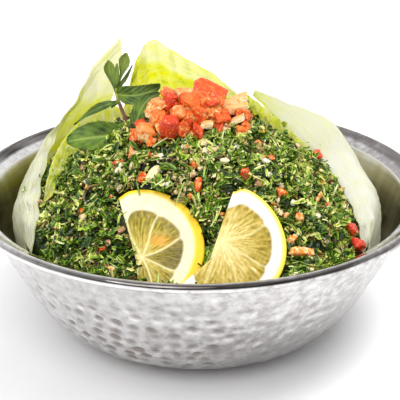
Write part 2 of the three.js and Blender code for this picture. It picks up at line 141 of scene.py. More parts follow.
# Makes a piece from points in millimetres, its faces turned outwards where the signed volume is below
# nothing. values are numbers per point, kept as attributes.
def makePiece(name, points, faceArrays, material, slotName, replaced=(), smooth=True, values=None, uv=None):
    if signedVolume(points - points.mean(axis=0), faceArrays) < 0:
        faceArrays = [faces[:, ::-1] for faces in faceArrays]
    mesh = bpy.data.meshes.new(name)
    corners = np.concatenate([faces.ravel() for faces in faceArrays]).astype(np.int32)
    sizes = np.concatenate([np.full(len(faces), faces.shape[1]) for faces in faceArrays])
    mesh.vertices.add(len(points))
    mesh.vertices.foreach_set("co", (points * mm).astype(np.float32).ravel())
    mesh.loops.add(len(corners))
    mesh.loops.foreach_set("vertex_index", corners)
    mesh.polygons.add(len(sizes))
    mesh.polygons.foreach_set("loop_start", np.concatenate([[0], np.cumsum(sizes)[:-1]]).astype(np.int32))
    mesh.polygons.foreach_set("use_smooth", np.full(len(sizes), smooth))
    mesh.update(calc_edges=True)
    for label, numbers in (values or {}).items():
        attribute = mesh.attributes.new(label, "FLOAT", "POINT")
        attribute.data.foreach_set("value", np.asarray(numbers, np.float32).ravel())
    if uv is not None:
        layer = mesh.uv_layers.new(name="UVMap")
        layer.data.foreach_set("uv", np.asarray(uv, np.float32)[corners].ravel())
    mesh.materials.append(material)
    piece = bpy.data.objects.new(name, mesh)
    bpy.context.scene.collection.objects.link(piece)
    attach(piece, "root")
    if replaced:
        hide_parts(*replaced)
    return piece


# A smooth path through points (Catmull-Rom): between two points a cubic whose slope at each is half
# the way from the point before to the point after. share runs from 0 to 1 over all the points.
def smoothPath(points, share):
    points = np.asarray(points, float)
    share = np.asarray(share, float)
    ends = np.concatenate([[2 * points[0] - points[1]], points, [2 * points[-1] - points[-2]]])
    spot = np.clip(share, 0, 1) * (len(points) - 1)
    start = np.minimum(spot.astype(int), len(points) - 2)
    t = (spot - start).reshape(share.shape + (1,) * (points.ndim - 1))
    a, b, c, d = (ends[start + k] for k in range(4))
    return 0.5 * (2 * b + (c - a) * t + (2 * a - 5 * b + 4 * c - d) * t**2 + (3 * b - a - 3 * c + d) * t**3)


# 0 below low, 1 above high, and between them 3 t^2 - 2 t^3, t being the share of the way.
def ease(x, low, high):
    t = np.clip((np.asarray(x, float) - low) / (high - low), 0, 1)
    return t * t * (3 - 2 * t)


# A hump about 0: e to the power of -(x / width)^2.
def bell(x, width):
    return np.exp(-((x / width) ** 2))


# Smooth noise of about -1 to 1: a sum of sine waves in seeded directions, round one wavelength.
def waves(places, wavelength, seed, count=10):
    rng = np.random.default_rng(seed)
    directions = rng.normal(size=(count, places.shape[-1]))
    directions /= np.linalg.norm(directions, axis=1, keepdims=True)
    directions *= 2 * np.pi / (wavelength * rng.uniform(0.7, 1.5, (count, 1)))
    sines = np.sin(places @ directions.T + rng.uniform(0, 2 * np.pi, count))
    return sines.sum(axis=-1) * math.sqrt(2 / count) * 0.6


# The sum of such waves over layers of depth, wavelength and seed.
def layeredWaves(places, layers):
    return sum(depth * waves(places, wavelength, seed) for depth, wavelength, seed in layers)


# Vectors divided by their lengths.
def unit(vectors):
    return vectors / (np.linalg.norm(vectors, axis=-1, keepdims=True) + 1e-12)


# A point at a radius, a turn from +X in degrees and a height: (r cos, r sin, z).
def polar(radius, turn, z):
    turn = np.radians(turn)
    return np.stack(np.broadcast_arrays(radius * np.cos(turn), radius * np.sin(turn), z), axis=-1)


# How many degrees a turn is from another one, the shorter way round.
def turnFrom(turn, other):
    return np.abs((turn - other + 180) % 360 - 180)


# A place's distances along and aside of a line at a turn: x cos + y sin, and y cos - x sin.
def alongAside(x, y, turn):
    cosine, sine = math.cos(math.radians(turn)), math.sin(math.radians(turn))
    return x * cosine + y * sine, y * cosine - x * sine


# Turns by degrees about X, then Y, then Z: the product of the three plain rotation matrices.
def turnMatrix(turns):
    matrix = np.eye(3)
    for axis, turn in enumerate(np.radians(turns)):
        a, b = [(1, 2), (2, 0), (0, 1)][axis]
        step = np.eye(3)
        step[a, a] = step[b, b] = math.cos(turn)
        step[b, a], step[a, b] = math.sin(turn), -math.sin(turn)
        matrix = step @ matrix
    return matrix


# Adds a shader node. inputs are plain values, or other nodes' outputs, which are linked.
def addNode(material, kind, inputs=None, **settings):
    tree = material.node_tree
    node = tree.nodes.new("ShaderNode" + kind)
    for label, value in settings.items():
        setattr(node, label, value)
    for label, value in (inputs or {}).items():
        if isinstance(value, bpy.types.NodeSocket):
            tree.links.new(value, node.inputs[label])
        else:
            node.inputs[label].default_value = value
    return node


# A colour ramp over a factor: stops are pairs of place and colour.
def addRamp(material, factor, stops):
    node = addNode(material, "ValToRGB", {"Fac": factor})
    ramp = node.color_ramp
    while len(ramp.elements) < len(stops):
        ramp.elements.new(0.5)
    for element, (place, color) in zip(ramp.elements, stops):
        element.position = place
        element.color = (*color, 1)
    return node.outputs["Color"]


# first * (1 - factor) + second * factor, for colours that are values or sockets.
def mixColors(material, factor, first, second):
    node = addNode(material, "Mix", data_type="RGBA")
    tree = material.node_tree
    for socket, value in ((node.inputs[0], factor), (node.inputs[6], first), (node.inputs[7], second)):
        if isinstance(value, bpy.types.NodeSocket):
            tree.links.new(value, socket)
        else:
            socket.default_value = value if isinstance(value, float) else (*value, 1)
    return node.outputs[2]


# first * second.
def times(material, first, second):
    return addNode(material, "Math", {0: first, 1: second}, operation="MULTIPLY").outputs[0]


# first + second.
def plus(material, first, second):
    return addNode(material, "Math", {0: first, 1: second}, operation="ADD").outputs[0]


# first - second.
def minus(material, first, second):
    return addNode(material, "Math", {0: first, 1: second}, operation="SUBTRACT").outputs[0]


# (value - 0.5) * amount: how far a noise lies from its middle.
def swing(material, value, amount):
    return times(material, minus(material, value, 0.5), amount)


# start + (end - start) * (value - low) / (high - low), held between start and end.
def span(material, value, low, high, start=0.0, end=1.0):
    inputs = {"Value": value, "From Min": low, "From Max": high, "To Min": start, "To Max": end}
    return addNode(material, "MapRange", inputs).outputs[0]


# The number that the mesh holds for a point under a label.
def attributeOf(material, label):
    return addNode(material, "Attribute", attribute_name=label).outputs["Fac"]


# One axis of the object's own coordinates, in metres.
def axisOf(material, axis):
    coords = addNode(material, "TexCoord").outputs["Object"]
    return addNode(material, "SeparateXYZ", {0: coords}).outputs[axis]


# Noise over the object's own coordinates, in metres: size is the width of one bump in millimetres.
# Over other coordinates, such as a UV map, size is in their own units.
def noiseOf(material, size, detail=3.0, roughness=0.5, stretch=None, coordinates=None):
    coords = coordinates or addNode(material, "TexCoord").outputs["Object"]
    if stretch:
        coords = addNode(material, "Mapping", {"Vector": coords, "Scale": stretch}).outputs[0]
    scale = 1 / (size * mm) if coordinates is None else 1 / size
    inputs = {"Vector": coords, "Scale": scale, "Detail": detail, "Roughness": roughness}
    return addNode(material, "TexNoise", inputs).outputs["Fac"]


# The normal tilted by the slope of height * distance, the distance in millimetres.
def addBump(material, height, distance, strength=1.0):
    inputs = {"Height": height, "Distance": distance * mm, "Strength": strength}
    return addNode(material, "Bump", inputs).outputs["Normal"]


# A new material with one Principled shader; inputs are its sockets' values.
def newMaterial(name, inputs):
    material = bpy.data.materials.new(name)
    material.use_nodes = True
    shader = material.node_tree.nodes["Principled BSDF"]
    for label, value in inputs.items():
        shader.inputs[label].default_value = value
    return material, shader


# Links each output to the shader's input of its label.
def feed(material, shader, links):
    for label, socket in links.items():
        material.node_tree.links.new(socket, shader.inputs[label])


studio = {
    "floorHalf": 12.0,  # metres
    "floorTones": [(0.3, (0.87, 0.865, 0.87)), (0.7, (0.9, 0.9, 0.9))],
    # how much the walls of the dome count against plain white, by height from the horizon up
    "walls": [(0.0, 0.0), (0.06, 0.0), (0.2, 1.0), (0.7, 1.0), (0.9, 0.0)],
    # the walls' light, from the front to the back
    "backToFront": {"from": -0.6, "to": 0.45, "front": 0.42, "back": 1.0},
    "suns": {
        "keySun": {"from": (0.38, 0.05, 1.0), "power": 2.1, "angle": 26.0, "inMetal": False},
        "frontSun": {"from": (-0.3, -0.75, 1.0), "power": 1.6, "angle": 40.0, "inMetal": True},
    },
}


# A flat square under the object, from -half to half.
def makeFloor(setup):
    half = setup["floorHalf"]
    mesh = bpy.data.meshes.new("floor")
    corners = [(-half, -half, 0), (half, -half, 0), (half, half, 0), (-half, half, 0)]
    mesh.from_pydata(corners, [], [(0, 1, 2, 3)])
    floor = bpy.data.objects.new("floor", mesh)
    bpy.context.scene.collection.objects.link(floor)
    material, shader = newMaterial("paleFloor", {"Roughness": 0.6, "Specular IOR Level": 0.2})
    feed(material, shader, {"Base Color": addRamp(material, noiseOf(material, 60.0), setup["floorTones"])})
    mesh.materials.append(material)


# A soft studio: a dome that is white at the horizon, overhead and behind and darker in front, and
# wide suns, each shining from its direction to the origin.
def makeStudio(setup):
    world = bpy.data.worlds.new("studioWorld")
    world.use_nodes = True
    bpy.context.scene.world = world
    coords = addNode(world, "TexCoord").outputs["Generated"]
    split = addNode(world, "SeparateXYZ", {0: coords})
    share = addRamp(world, split.outputs["Z"], [(place, (level,) * 3) for place, level in setup["walls"]])
    sides = setup["backToFront"]
    level = span(world, split.outputs["Y"], sides["from"], sides["to"], sides["front"], sides["back"])
    light = mixColors(world, share, (1.0, 1.0, 1.0), level)
    world.node_tree.links.new(light, world.node_tree.nodes["Background"].inputs["Color"])

    for name, sun in setup["suns"].items():
        data = bpy.data.lights.new(name, "SUN")
        data.energy = sun["power"]
        data.angle = math.radians(sun["angle"])
        light = bpy.data.objects.new(name, data)
        light.rotation_mode = "QUATERNION"
        light.rotation_quaternion = (-Vector(sun["from"])).to_track_quat("-Z", "Y")
        light.visible_glossy = sun["inMetal"]
        bpy.context.scene.collection.objects.link(light)


makeFloor(studio)
makeStudio(studio)
print("camera, floor and light ready")


bowl = {
    "foot": (47.5, 0.0), "pullLow": (80.8, 6.2), "pullHigh": (81.1, 24.2), "wallTop": (104.1, 67.0),
    "footRings": (12.0, 47.1, 5),  # first radius, last radius and number
    "rimRadius": 110.0, "height": 72.0, "beadRadius": 2.05, "beadArc": (-100, 140, 15), "coveDip": 0.12,
    "flangeEdge": (100.0, 67.6), "flangeSag": 0.55, "flangeRings": 9,
    "insideLip": 99.5, "insideTop": (67.0, 66.2, 65.0), "insideRows": (62.5, 3.2, 30),
    "floorRings": (44, 30, 12), "wallThickness": 1.6, "rimThickness": 4.7, "thickens": (48, 66),
    "columns": 600, "wallRows": 92,
    "uneven": ((0.045, 5, 9), (0.08, 8, 6), (0.16, 15, 7)),  # depth, wavelength and seed of each layer
}
hammer = {
    "wide": 8.6, "high": 6.0, "depth": 0.72, "slide": 0.24, "lift": 0.8, "deep": (0.5, 1.2),
    "broad": (0.8, 1.15), "halfWide": 0.46, "halfHigh": 0.56, "seed": 5,
    "smoothTop": 17.0, "strongest": -118, "strongWidth": 42,  # the last two in degrees round the bowl
}
# The outside's curve is a Bezier: the sum of (1, 3, 3, 1) * handle * (1 - t)^(3 - k) * t^k.
bezierShares = np.linspace(0, 1, 500)[:, None]
bezierHandles = [np.array(bowl[key]) for key in ("foot", "pullLow", "pullHigh", "wallTop")]
wallCurve = sum(
    factor * handle * (1 - bezierShares) ** (3 - k) * bezierShares**k
    for k, (factor, handle) in enumerate(zip((1, 3, 3, 1), bezierHandles))
)


# Radius of the wall's outside at a height, read off the Bezier curve.
def outerRadius(z):
    return np.interp(z, wallCurve[:, 1], wallCurve[:, 0])


# Radius of its inside: the wall thickens smoothly towards the rim.
def innerRadius(z):
    thin, thick = bowl["wallThickness"], bowl["rimThickness"]
    return outerRadius(z) - (thin + (thick - thin) * ease(z, *bowl["thickens"]))


# Depth of the hammer marks, 0 to 1, at a distance s up the wall and a turn. They lie in rows; each is
# an oval pit whose depth is 1 minus the squared distance from its middle, to the power of 1.2.
def hammerDepth(s, turn, radius, wallLength):
    rng = np.random.default_rng(hammer["seed"])
    depth = np.zeros((len(s), len(turn)))
    wide, high = hammer["wide"], hammer["high"]
    for row in range(int(wallLength / high) + 1):
        height = (row + 0.4) * high
        near = np.abs(s - height) < 1.3 * high
        count = max(int(2 * np.pi * np.interp(height, s, radius) / wide), 8)
        slide = rng.uniform(-hammer["slide"], hammer["slide"], count)
        lift = rng.normal(0, hammer["lift"], count)
        deep, broad = rng.uniform(*hammer["deep"], count), rng.uniform(*hammer["broad"], count)
        spot = turn / (2 * np.pi) * count + 0.5 * row + rng.uniform(0, 0.3)
        cell = np.floor(spot).astype(int) % count
        across = (spot - np.floor(spot) - 0.5 - slide[cell]) / (hammer["halfWide"] * broad[cell])
        along = (s[near][:, None] - height - lift[cell]) / (hammer["halfHigh"] * high * broad[cell])
        pit = np.clip(1 - across**2 - along**2, 0, 1) ** 1.2 * deep[cell]
        depth[near] = np.maximum(depth[near], pit)
    return depth


# How strongly the wall is hammered: weaker near the rim and at the foot, and round it by a hump about
# the strongest turn plus a small sine with three waves.
def hammerStrength(s, turn, wallLength):
    smoothFrom = wallLength - hammer["smoothTop"] - 14
    up = (1 - 0.78 * ease(s, smoothFrom, wallLength - 6)) * ease(s, 0.5, 4)
    hump = bell(turnFrom(np.degrees(turn), hammer["strongest"]), hammer["strongWidth"])
    return up[:, None] * (0.62 + 0.5 * hump + 0.12 * np.sin(3 * turn + 1))


# Painted reflections over the profile's rows and the turns. A dark band of painted reflection lies on
# the outer side of the bead, darkest at the front, and one over its inner side and the flange, darkest
# at the back left. Both are shares round the bowl times steps over the bead, broken into streaks by
# waves. The inside's olive-brown painted reflection of the salad is a sum of a share that grows towards
# its bottom as painted shade and of waves.
def paintedReflections(wallRows, beadTurn, flangeRows, heights, floorRows, turn):
    azimuth = np.degrees(turn)
    fromFront = turnFrom(azimuth, -90)
    outerShare = 0.45 + 0.55 * bell(fromFront, 55) - 0.45 * bell(turnFrom(azimuth, -152), 32)
    innerShare = (0.6 + 0.3 * bell(turnFrom(azimuth, 150), 40)) * ease(fromFront, 50, 95)
    degrees = np.degrees(beadTurn)[:, None]
    circle = 108 * np.stack([np.cos(turn), np.sin(turn)], axis=-1)
    streaks = np.stack([waves(circle, 26, 90 + row, 8) for row in range(len(beadTurn) + flangeRows)])
    outerBand = ease(degrees, 2, 14) * ease(-degrees, -82, -66)
    bead = outerShare * outerBand + innerShare * ease(degrees, 84, 100)
    share = np.linspace(0, 1, flangeRows)[:, None]
    flange = innerShare * ease(-share, -0.5, -0.25)
    rim = np.clip(np.vstack([bead, flange]) * (0.95 + 0.22 * streaks), 0, 1)
    deep = ease(-heights, -66, -48)[:, None]
    paintedInsideReflection = 0.46 + 0.3 * deep + 0.14 * waves(circle, 36, 44) + 0.05 * waves(circle, 12, 45)
    paintedInsideReflection[0] = 0.15  # just under the flange
    outside = np.zeros((wallRows + 3, len(turn)))
    floor = np.zeros((floorRows, len(turn)))
    return {
        "paintedRimReflection": np.vstack([outside, rim, np.zeros_like(paintedInsideReflection), floor]),
        "paintedInsideReflection": np.vstack([outside, np.zeros_like(rim), paintedInsideReflection.clip(0, 1), floor + 0.8]),
    }


# The bowl's profile from the middle of the foot up the outside, round the rolled bead, over the
# sloping flange and down the inside to the floor, as radius and height of each ring.
def bowlProfile():
    lengths = np.concatenate([[0], np.cumsum(np.linalg.norm(np.diff(wallCurve, axis=0), axis=1))])
    s = np.linspace(0, lengths[-1], bowl["wallRows"])
    wall = np.column_stack([np.interp(s, lengths, wallCurve[:, 0]), np.interp(s, lengths, wallCurve[:, 1])])
    foot = np.linspace(*bowl["footRings"])
    foot = np.column_stack([foot, np.zeros(len(foot))])
    beadTurn = np.radians(np.linspace(*bowl["beadArc"]))
    beadMiddle = np.array([bowl["rimRadius"], bowl["height"]]) - bowl["beadRadius"]
    bead = beadMiddle + bowl["beadRadius"] * np.column_stack([np.cos(beadTurn), np.sin(beadTurn)])
    cove = np.linspace(wall[-1], bead[0], 5)[1:-1] - np.array([0, bowl["coveDip"]])
    share = np.linspace(0, 1, bowl["flangeRings"] + 1)[1:, None]
    flange = bead[-1] + (np.array(bowl["flangeEdge"]) - bead[-1]) * share
    flange[:, 1] -= bowl["flangeSag"] * np.sin(np.pi * share[:, 0])
    heights = np.concatenate([bowl["insideTop"], np.linspace(*bowl["insideRows"])])
    inside = np.column_stack([innerRadius(heights), heights])
    inside[0, 0] = bowl["insideLip"]
    floor = np.column_stack([bowl["floorRings"], np.full(3, bowl["wallThickness"])])
    rows = {
        "foot": foot, "wall": wall, "cove": cove, "bead": bead, "flange": flange, "inside": inside,
        "floor": floor,
    }
    return rows, s, beadTurn


# The bowl: the profile turned about Z. The wall's rings are moved along the profile's outward normal
# by minus the depth of the hammer marks and by waves that go round the wall.
def makeBowl():
    columns = bowl["columns"]
    turn = np.linspace(0, 2 * np.pi, columns, endpoint=False)
    rows, s, beadTurn = bowlProfile()
    profile = np.vstack(list(rows.values()))
    out = np.gradient(profile, axis=0)
    out = unit(np.column_stack([out[:, 1], -out[:, 0]]))
    moved, dents = np.zeros((len(profile), columns)), np.zeros((len(profile), columns))
    onWall = slice(len(rows["foot"]), len(rows["foot"]) + len(s))
    strength = hammerStrength(s, turn, s[-1])
    dents[onWall] = hammerDepth(s, turn, rows["wall"][:, 0], s[-1]) * strength
    tube = np.stack(np.broadcast_arrays(90 * np.cos(turn), 90 * np.sin(turn), s[:, None]), axis=-1)
    uneven = layeredWaves(tube, bowl["uneven"]) * np.minimum(strength + 0.25, 1)
    moved[onWall] = -hammer["depth"] * dents[onWall] - uneven * ease(s, 0.5, 4)[:, None]
    heights = rows["inside"][:, 1]
    # painted reflections on the rim and painted reflection and shade inside, kept as attributes
    worn = paintedReflections(onWall.stop, beadTurn, len(rows["flange"]), heights, len(rows["floor"]), turn)
    radius = profile[:, :1] + out[:, :1] * moved
    height = np.maximum(profile[:, 1:] + out[:, 1:] * moved, 0)
    rings = np.stack([radius * np.cos(turn), radius * np.sin(turn), height], axis=-1)
    points = ringPoints(rings, (0, 0, 0), (0, 0, bowl["wallThickness"]))
    values = {
        label: np.concatenate([grid[0, :1], grid.ravel(), grid[-1, :1]])
        for label, grid in {"dent": dents, **worn}.items()
    }
    faces = ringFaces(len(profile), columns)
    makePiece("hammered_bowl", points, faces, bowlMetal(), "bowl_metal", ["bowl"], values=values)


# Silver metal, satin on the walls and polished on the rim. Its tone is a mottle of painted reflection
# minus painted shade that grows to the right and downwards, then painted grey-brown shade in the
# deepest dents, dark painted reflection on the rim, and olive-brown painted reflection inside. Places
# are in metres.
def bowlMetal():
    material, shader = newMaterial("hammeredSteel", {"Metallic": 1.0})
    height, spread = axisOf(material, "Z"), axisOf(material, "X")
    dent, paintedRimReflection, paintedInsideReflection = (attributeOf(material, label) for label in ("dent", "paintedRimReflection", "paintedInsideReflection"))
    satin = span(material, noiseOf(material, 11.0, 4.0, 0.6), 0.0, 1.0, 0.15, 0.25)
    onRim = span(material, height, 0.0665, 0.068)
    rough = span(material, onRim, 0.0, 1.0, satin, 0.08)
    rightward = span(material, spread, -0.03, 0.09)
    lowness = span(material, height, 0.06, 0.015)
    # painted shade: darker to the right, low down and towards the foot
    shade = times(material, rightward, plus(material, times(material, lowness, 0.18), 0.2))
    shade = plus(material, shade, times(material, lowness, 0.05))
    shade = plus(material, shade, span(material, height, 0.035, 0.01, 0.0, 0.1))
    shade = plus(material, shade, span(material, spread, 0.085, 0.1, 0.0, 0.12))
    # a mottle of painted reflection
    paintedMottle = noiseOf(material, 4.5, 4.0, 0.65)
    tone = addRamp(material, minus(material, paintedMottle, shade), [
        (0.22, (0.4, 0.385, 0.38)), (0.4, (0.62, 0.605, 0.6)), (0.6, (0.8, 0.79, 0.785)),
    ])
    # painted grey-brown shade in the deepest dents, stronger low down
    paintedDentShade = plus(material, times(material, lowness, 0.3), 0.65)
    paintedDentShade = times(material, span(material, dent, 0.3, 1.0), paintedDentShade)
    color = mixColors(material, paintedDentShade, tone, (0.26, 0.22, 0.2))
    # painted dark reflection on the rim
    color = mixColors(material, paintedRimReflection, color, (0.06, 0.05, 0.045))
    # painted olive reflection of the salad inside, darker deeper down as painted shade
    inside = addRamp(material, paintedInsideReflection, [
        (0.1, (0.72, 0.71, 0.66)), (0.4, (0.52, 0.49, 0.34)), (0.75, (0.26, 0.23, 0.12)),
        (1.0, (0.11, 0.09, 0.04)),
    ])
    color = mixColors(material, span(material, paintedInsideReflection, 0.0, 0.12), color, inside)
    grain = addBump(material, noiseOf(material, 0.7, 2.0, 0.6), 0.015, 0.4)
    feed(material, shader, {"Base Color": color, "Roughness": rough, "Normal": grain})
    return material


makeBowl()
print("bowl ready")


heap = {
    "top": 107.0, "edge": 60.0, "reach": 90.0, "roundness": 1.8, "flare": 1.4,
    "wallGap": 0.6, "reachAtLeaves": 85.3, "leavesFrom": (46, 51),  # degrees from the front
    "lemonDent": 11.0, "dentMiddle": (-6.0, -68.0), "dentReach": (38.0, 17.0),
    "lumps": ((1.4, 16, 3), (1.5, 7, 4)),  # depth, wavelength and seed of each layer
    "sideHeights": [3.8, 8.5, 18.0, 32.0, 47.0, 54.0], "bottom": 2.1, "sink": 1.6,
    "columns": 240, "crownRows": 84,
}


# Height of the salad over a place: edge + (top - edge) * (1 - (r / reach)^roundness)^flare, pressed in
# under the lemon by a hump.
def crown(x, y):
    share = np.minimum(np.hypot(x, y) / heap["reach"], 1)
    dome = heap["edge"] + (heap["top"] - heap["edge"]) * (1 - share ** heap["roundness"]) ** heap["flare"]
    across = ((x - heap["dentMiddle"][0]) / heap["dentReach"][0]) ** 2
    along = ((y - heap["dentMiddle"][1]) / heap["dentReach"][1]) ** 2
    return dome - heap["lemonDent"] * np.exp(-across - along)


# The crown's upward normal: (-slope along x, -slope along y, 1), from the heights a step to each side.
def crownNormal(x, y, step=0.6):
    slopeX = (crown(x + step, y) - crown(x - step, y)) / (2 * step)
    slopeY = (crown(x, y + step) - crown(x, y - step)) / (2 * step)
    return unit(np.stack([-slopeX, -slopeY, np.ones_like(slopeX)], axis=-1))


# How far the heap reaches at a turn: to the bowl at the front, less behind the leaves.
def heapReach(turn, z):
    full = innerRadius(z) - heap["wallGap"]
    behind = ease(turnFrom(turn, -90), *heap["leavesFrom"])
    return full + (np.minimum(full, heap["reachAtLeaves"]) - full) * behind


# Lumps of the loose salad, up and down, over a place: long waves and short ones.
def lumps(x, y):
    return layeredWaves(np.stack([x, y], axis=-1), heap["lumps"])


lemon = {
    "radius": 28.5, "thickness": 5.5, "bevel": 0.9, "rings": 60, "columns": 230,
    "segment": 45.0,  # degrees
    "fleshDepth": 0.2, "vesicles": 0.14, "pits": 0.07,  # millimetres
}
# Each half slice: its middle, which way it faces, how it leans back and the angles of its two ends, in
# degrees. pole is where the two straight cuts meet, worn how much each end is rounded, core the middle
# of the segments and tones theirs, flesh the share of the radius that they fill and membrane how
# strong the skins between them are. zest is where it starts, how much wider it gets and towards which
# angle; then the place and strength of an orange spot, a painted orange reflection; ripe goes from
# pale yellow 0 to olive 1.
lemonSlices = {
    "left": {
        "centre": (-25, -64.4, 65.4), "facing": -5, "lean": 42.5, "from": -84, "to": 115,
        "pole": (-0.8, -4.8), "worn": (0.0, 0.06), "core": (1.6, -3.4), "firstMembrane": 27,
        "membrane": 0.9, "flesh": 0.665, "tones": (0.2, -0.2, 0, 0, 0, 0, 1.0, -1.8),
        "orangeReflection": (8.5, 4.5, 0.7), "seed": 31, "ripe": 0.9, "zest": (0.96, 0.085, -8),
    },
    "right": {
        "centre": (10, -72.1, 72.2), "facing": 15, "lean": 44.5, "from": -142, "to": 66,
        "pole": (-6, -6.5), "worn": (0.05, 0.12), "core": (0.2, 0.6), "firstMembrane": 10,
        "membrane": 0.45, "flesh": 0.76, "tones": (0.3, -0.3, 0.1, 0, 0.3, -0.1, 0.4, -0.4),
        "orangeReflection": (0, 0, 0.0), "seed": 32, "ripe": 0.1, "zest": (0.968, 0.02, -30),
    },
}


# Turns a slice's own frame (face in z = 0) to its place: a lean about X, then a turn about Z.
def sliceMatrix(wedge):
    return turnMatrix((wedge["lean"], 0, wedge["facing"]))


# Whether places in a slice's own frame lie within its outline widened by a margin: in its circle, and
# past one of the two straight cuts that run from the pole to its ends.
def withinSlice(local, wedge, margin):
    pole = np.array(wedge["pole"])
    fromPole = local[..., :2] - pole
    beyond = []
    for end, side in (("from", 1), ("to", -1)):
        turn = math.radians(wedge[end])
        ahead = unit(lemon["radius"] * np.array([math.cos(turn), math.sin(turn)]) - pole)
        beyond.append(side * (ahead[0] * fromPole[..., 1] - ahead[1] * fromPole[..., 0]) > -margin)
    return (np.hypot(local[..., 0], local[..., 1]) < lemon["radius"] + margin) & (beyond[0] | beyond[1])


# Keeps a height a little under the plane of the back of every slice that stands over its place.
def underSlices(x, y, z, margin=0.8, gap=0.6):
    for wedge in lemonSlices.values():
        matrix, centre = sliceMatrix(wedge), np.array(wedge["centre"])
        normal = matrix[:, 2]
        drop = lemon["thickness"] + normal[0] * (x - centre[0]) + normal[1] * (y - centre[1])
        back = centre[2] - drop / normal[2]
        local = (np.stack([x, y, back], axis=-1) - centre) @ matrix
        z = np.where(withinSlice(local, wedge, margin), np.minimum(z, back - gap), z)
    return z


# The body under the chopped pieces, near black as painted shade of the deep layers: rings up the side,
# then rings over the crown, sunk a little and pushed up and down by the lumps and by short noise.
def makeHeapBody():
    turn = np.linspace(0, 360, heap["columns"], endpoint=False)
    side = [polar(heapReach(turn, z), turn, z) for z in heap["sideHeights"]]
    share = np.linspace(1, 0, heap["crownRows"], endpoint=False)[:, None]
    place = polar(heapReach(turn, heap["edge"]) * share, turn, 0.0)
    x, y = place[..., 0], place[..., 1]
    rough = waves(place[..., :2], 3.2, 8) * 0.8 * ease(1 - share, 0, 0.05)
    place[..., 2] = crown(x, y) - heap["sink"] + (lumps(x, y) + rough) * ease(1 - share, 0, 0.06)
    place[..., 2] = underSlices(x, y, place[..., 2])
    rings = np.concatenate([np.array(side), place])
    top = (0, 0, crown(np.zeros(1), np.zeros(1))[0] - heap["sink"])
    points = ringPoints(rings, (0, 0, heap["bottom"]), top)
    faces = ringFaces(len(rings), heap["columns"])
    material, shader = newMaterial("paintedShadeSalad", {"Roughness": 0.55})
    # near black: painted shade of the salad's deep layers
    tone = addRamp(material, noiseOf(material, 2.2, 3.0, 0.6), [
        (0.36, (0.003, 0.006, 0.002)), (0.52, (0.008, 0.022, 0.004)), (0.7, (0.03, 0.07, 0.01)),
    ])
    feed(material, shader, {"Base Color": tone, "Normal": addBump(material, noiseOf(material, 1.2), 0.5)})
    makePiece("salad_body", points, faces, material, "salad", ["tabbouleh"])


makeHeapBody()
print("heap body ready")


# Each leaf's path along its free lip, the crest that it bends over, the turns of its foot on the bowl's
# wall, and depth and number of its ripples. rib is the back leaf's pale rib, as x and z.
lettuce = {
    "right": {
        "lip": [(73, -53, 58), (72, -36, 66), (68, -19, 72.5), (60, -1, 80.5), (46, 9, 91), (36, 19, 98.5),
                (27, 27, 105.5)],
        "crest": [(76.5, -47, 60), (80.5, -29, 67), (80.5, -8, 73.5), (73, 10, 81), (65, 22, 93),
                  (48, 34, 96.5), (31, 37, 102)],
        "foot": (-38, 56), "ripple": (0.9, 9), "seed": 21,
    },
    "back": {
        "lip": [(20, 41, 101), (8, 43, 111), (-4, 43, 118), (-14, 43, 124), (-22.5, 42, 129), (-29, 41, 122),
                (-33, 41, 111)],
        "crest": [(24, 48, 92), (9, 50, 98), (-3, 51, 103), (-12, 51, 107), (-22, 50, 110), (-30, 48, 106),
                  (-36, 47, 98)],
        "foot": (61, 117), "ripple": (1.1, 7), "seed": 22,
        "rib": [(-34, 118), (-24, 118), (-19, 119), (-14, 113.5), (-4.5, 109), (2, 107), (20, 98)],
    },
    "left": {
        "lip": [(-38, 40, 131), (-52, 39, 116), (-60, 37, 101), (-68, 32, 88.5), (-73, 17, 79.5),
                (-74.5, -8, 71.5), (-72.5, -32, 67), (-73, -53, 58)],
        "crest": [(-39, 43, 116), (-52, 43, 104), (-63, 41, 92), (-74, 30, 83), (-80.5, 12, 74),
                  (-81.5, -7, 69), (-80, -27, 65), (-76.5, -47, 60)],
        "foot": (123, 216), "ripple": (0.9, 9), "seed": 23,
    },
}
leafGrid = {
    "along": 240, "across": 110, "towardsLip": 1.3, "thickness": 1.15, "edgeShare": 0.35,
    "belly": (87.6, 60.0), "footHeight": 40.0, "footGap": 1.4, "calmEnds": 0.12,
    "rippleShare": 0.55, "veinHeight": 0.35, "lipTint": 0.16,
}


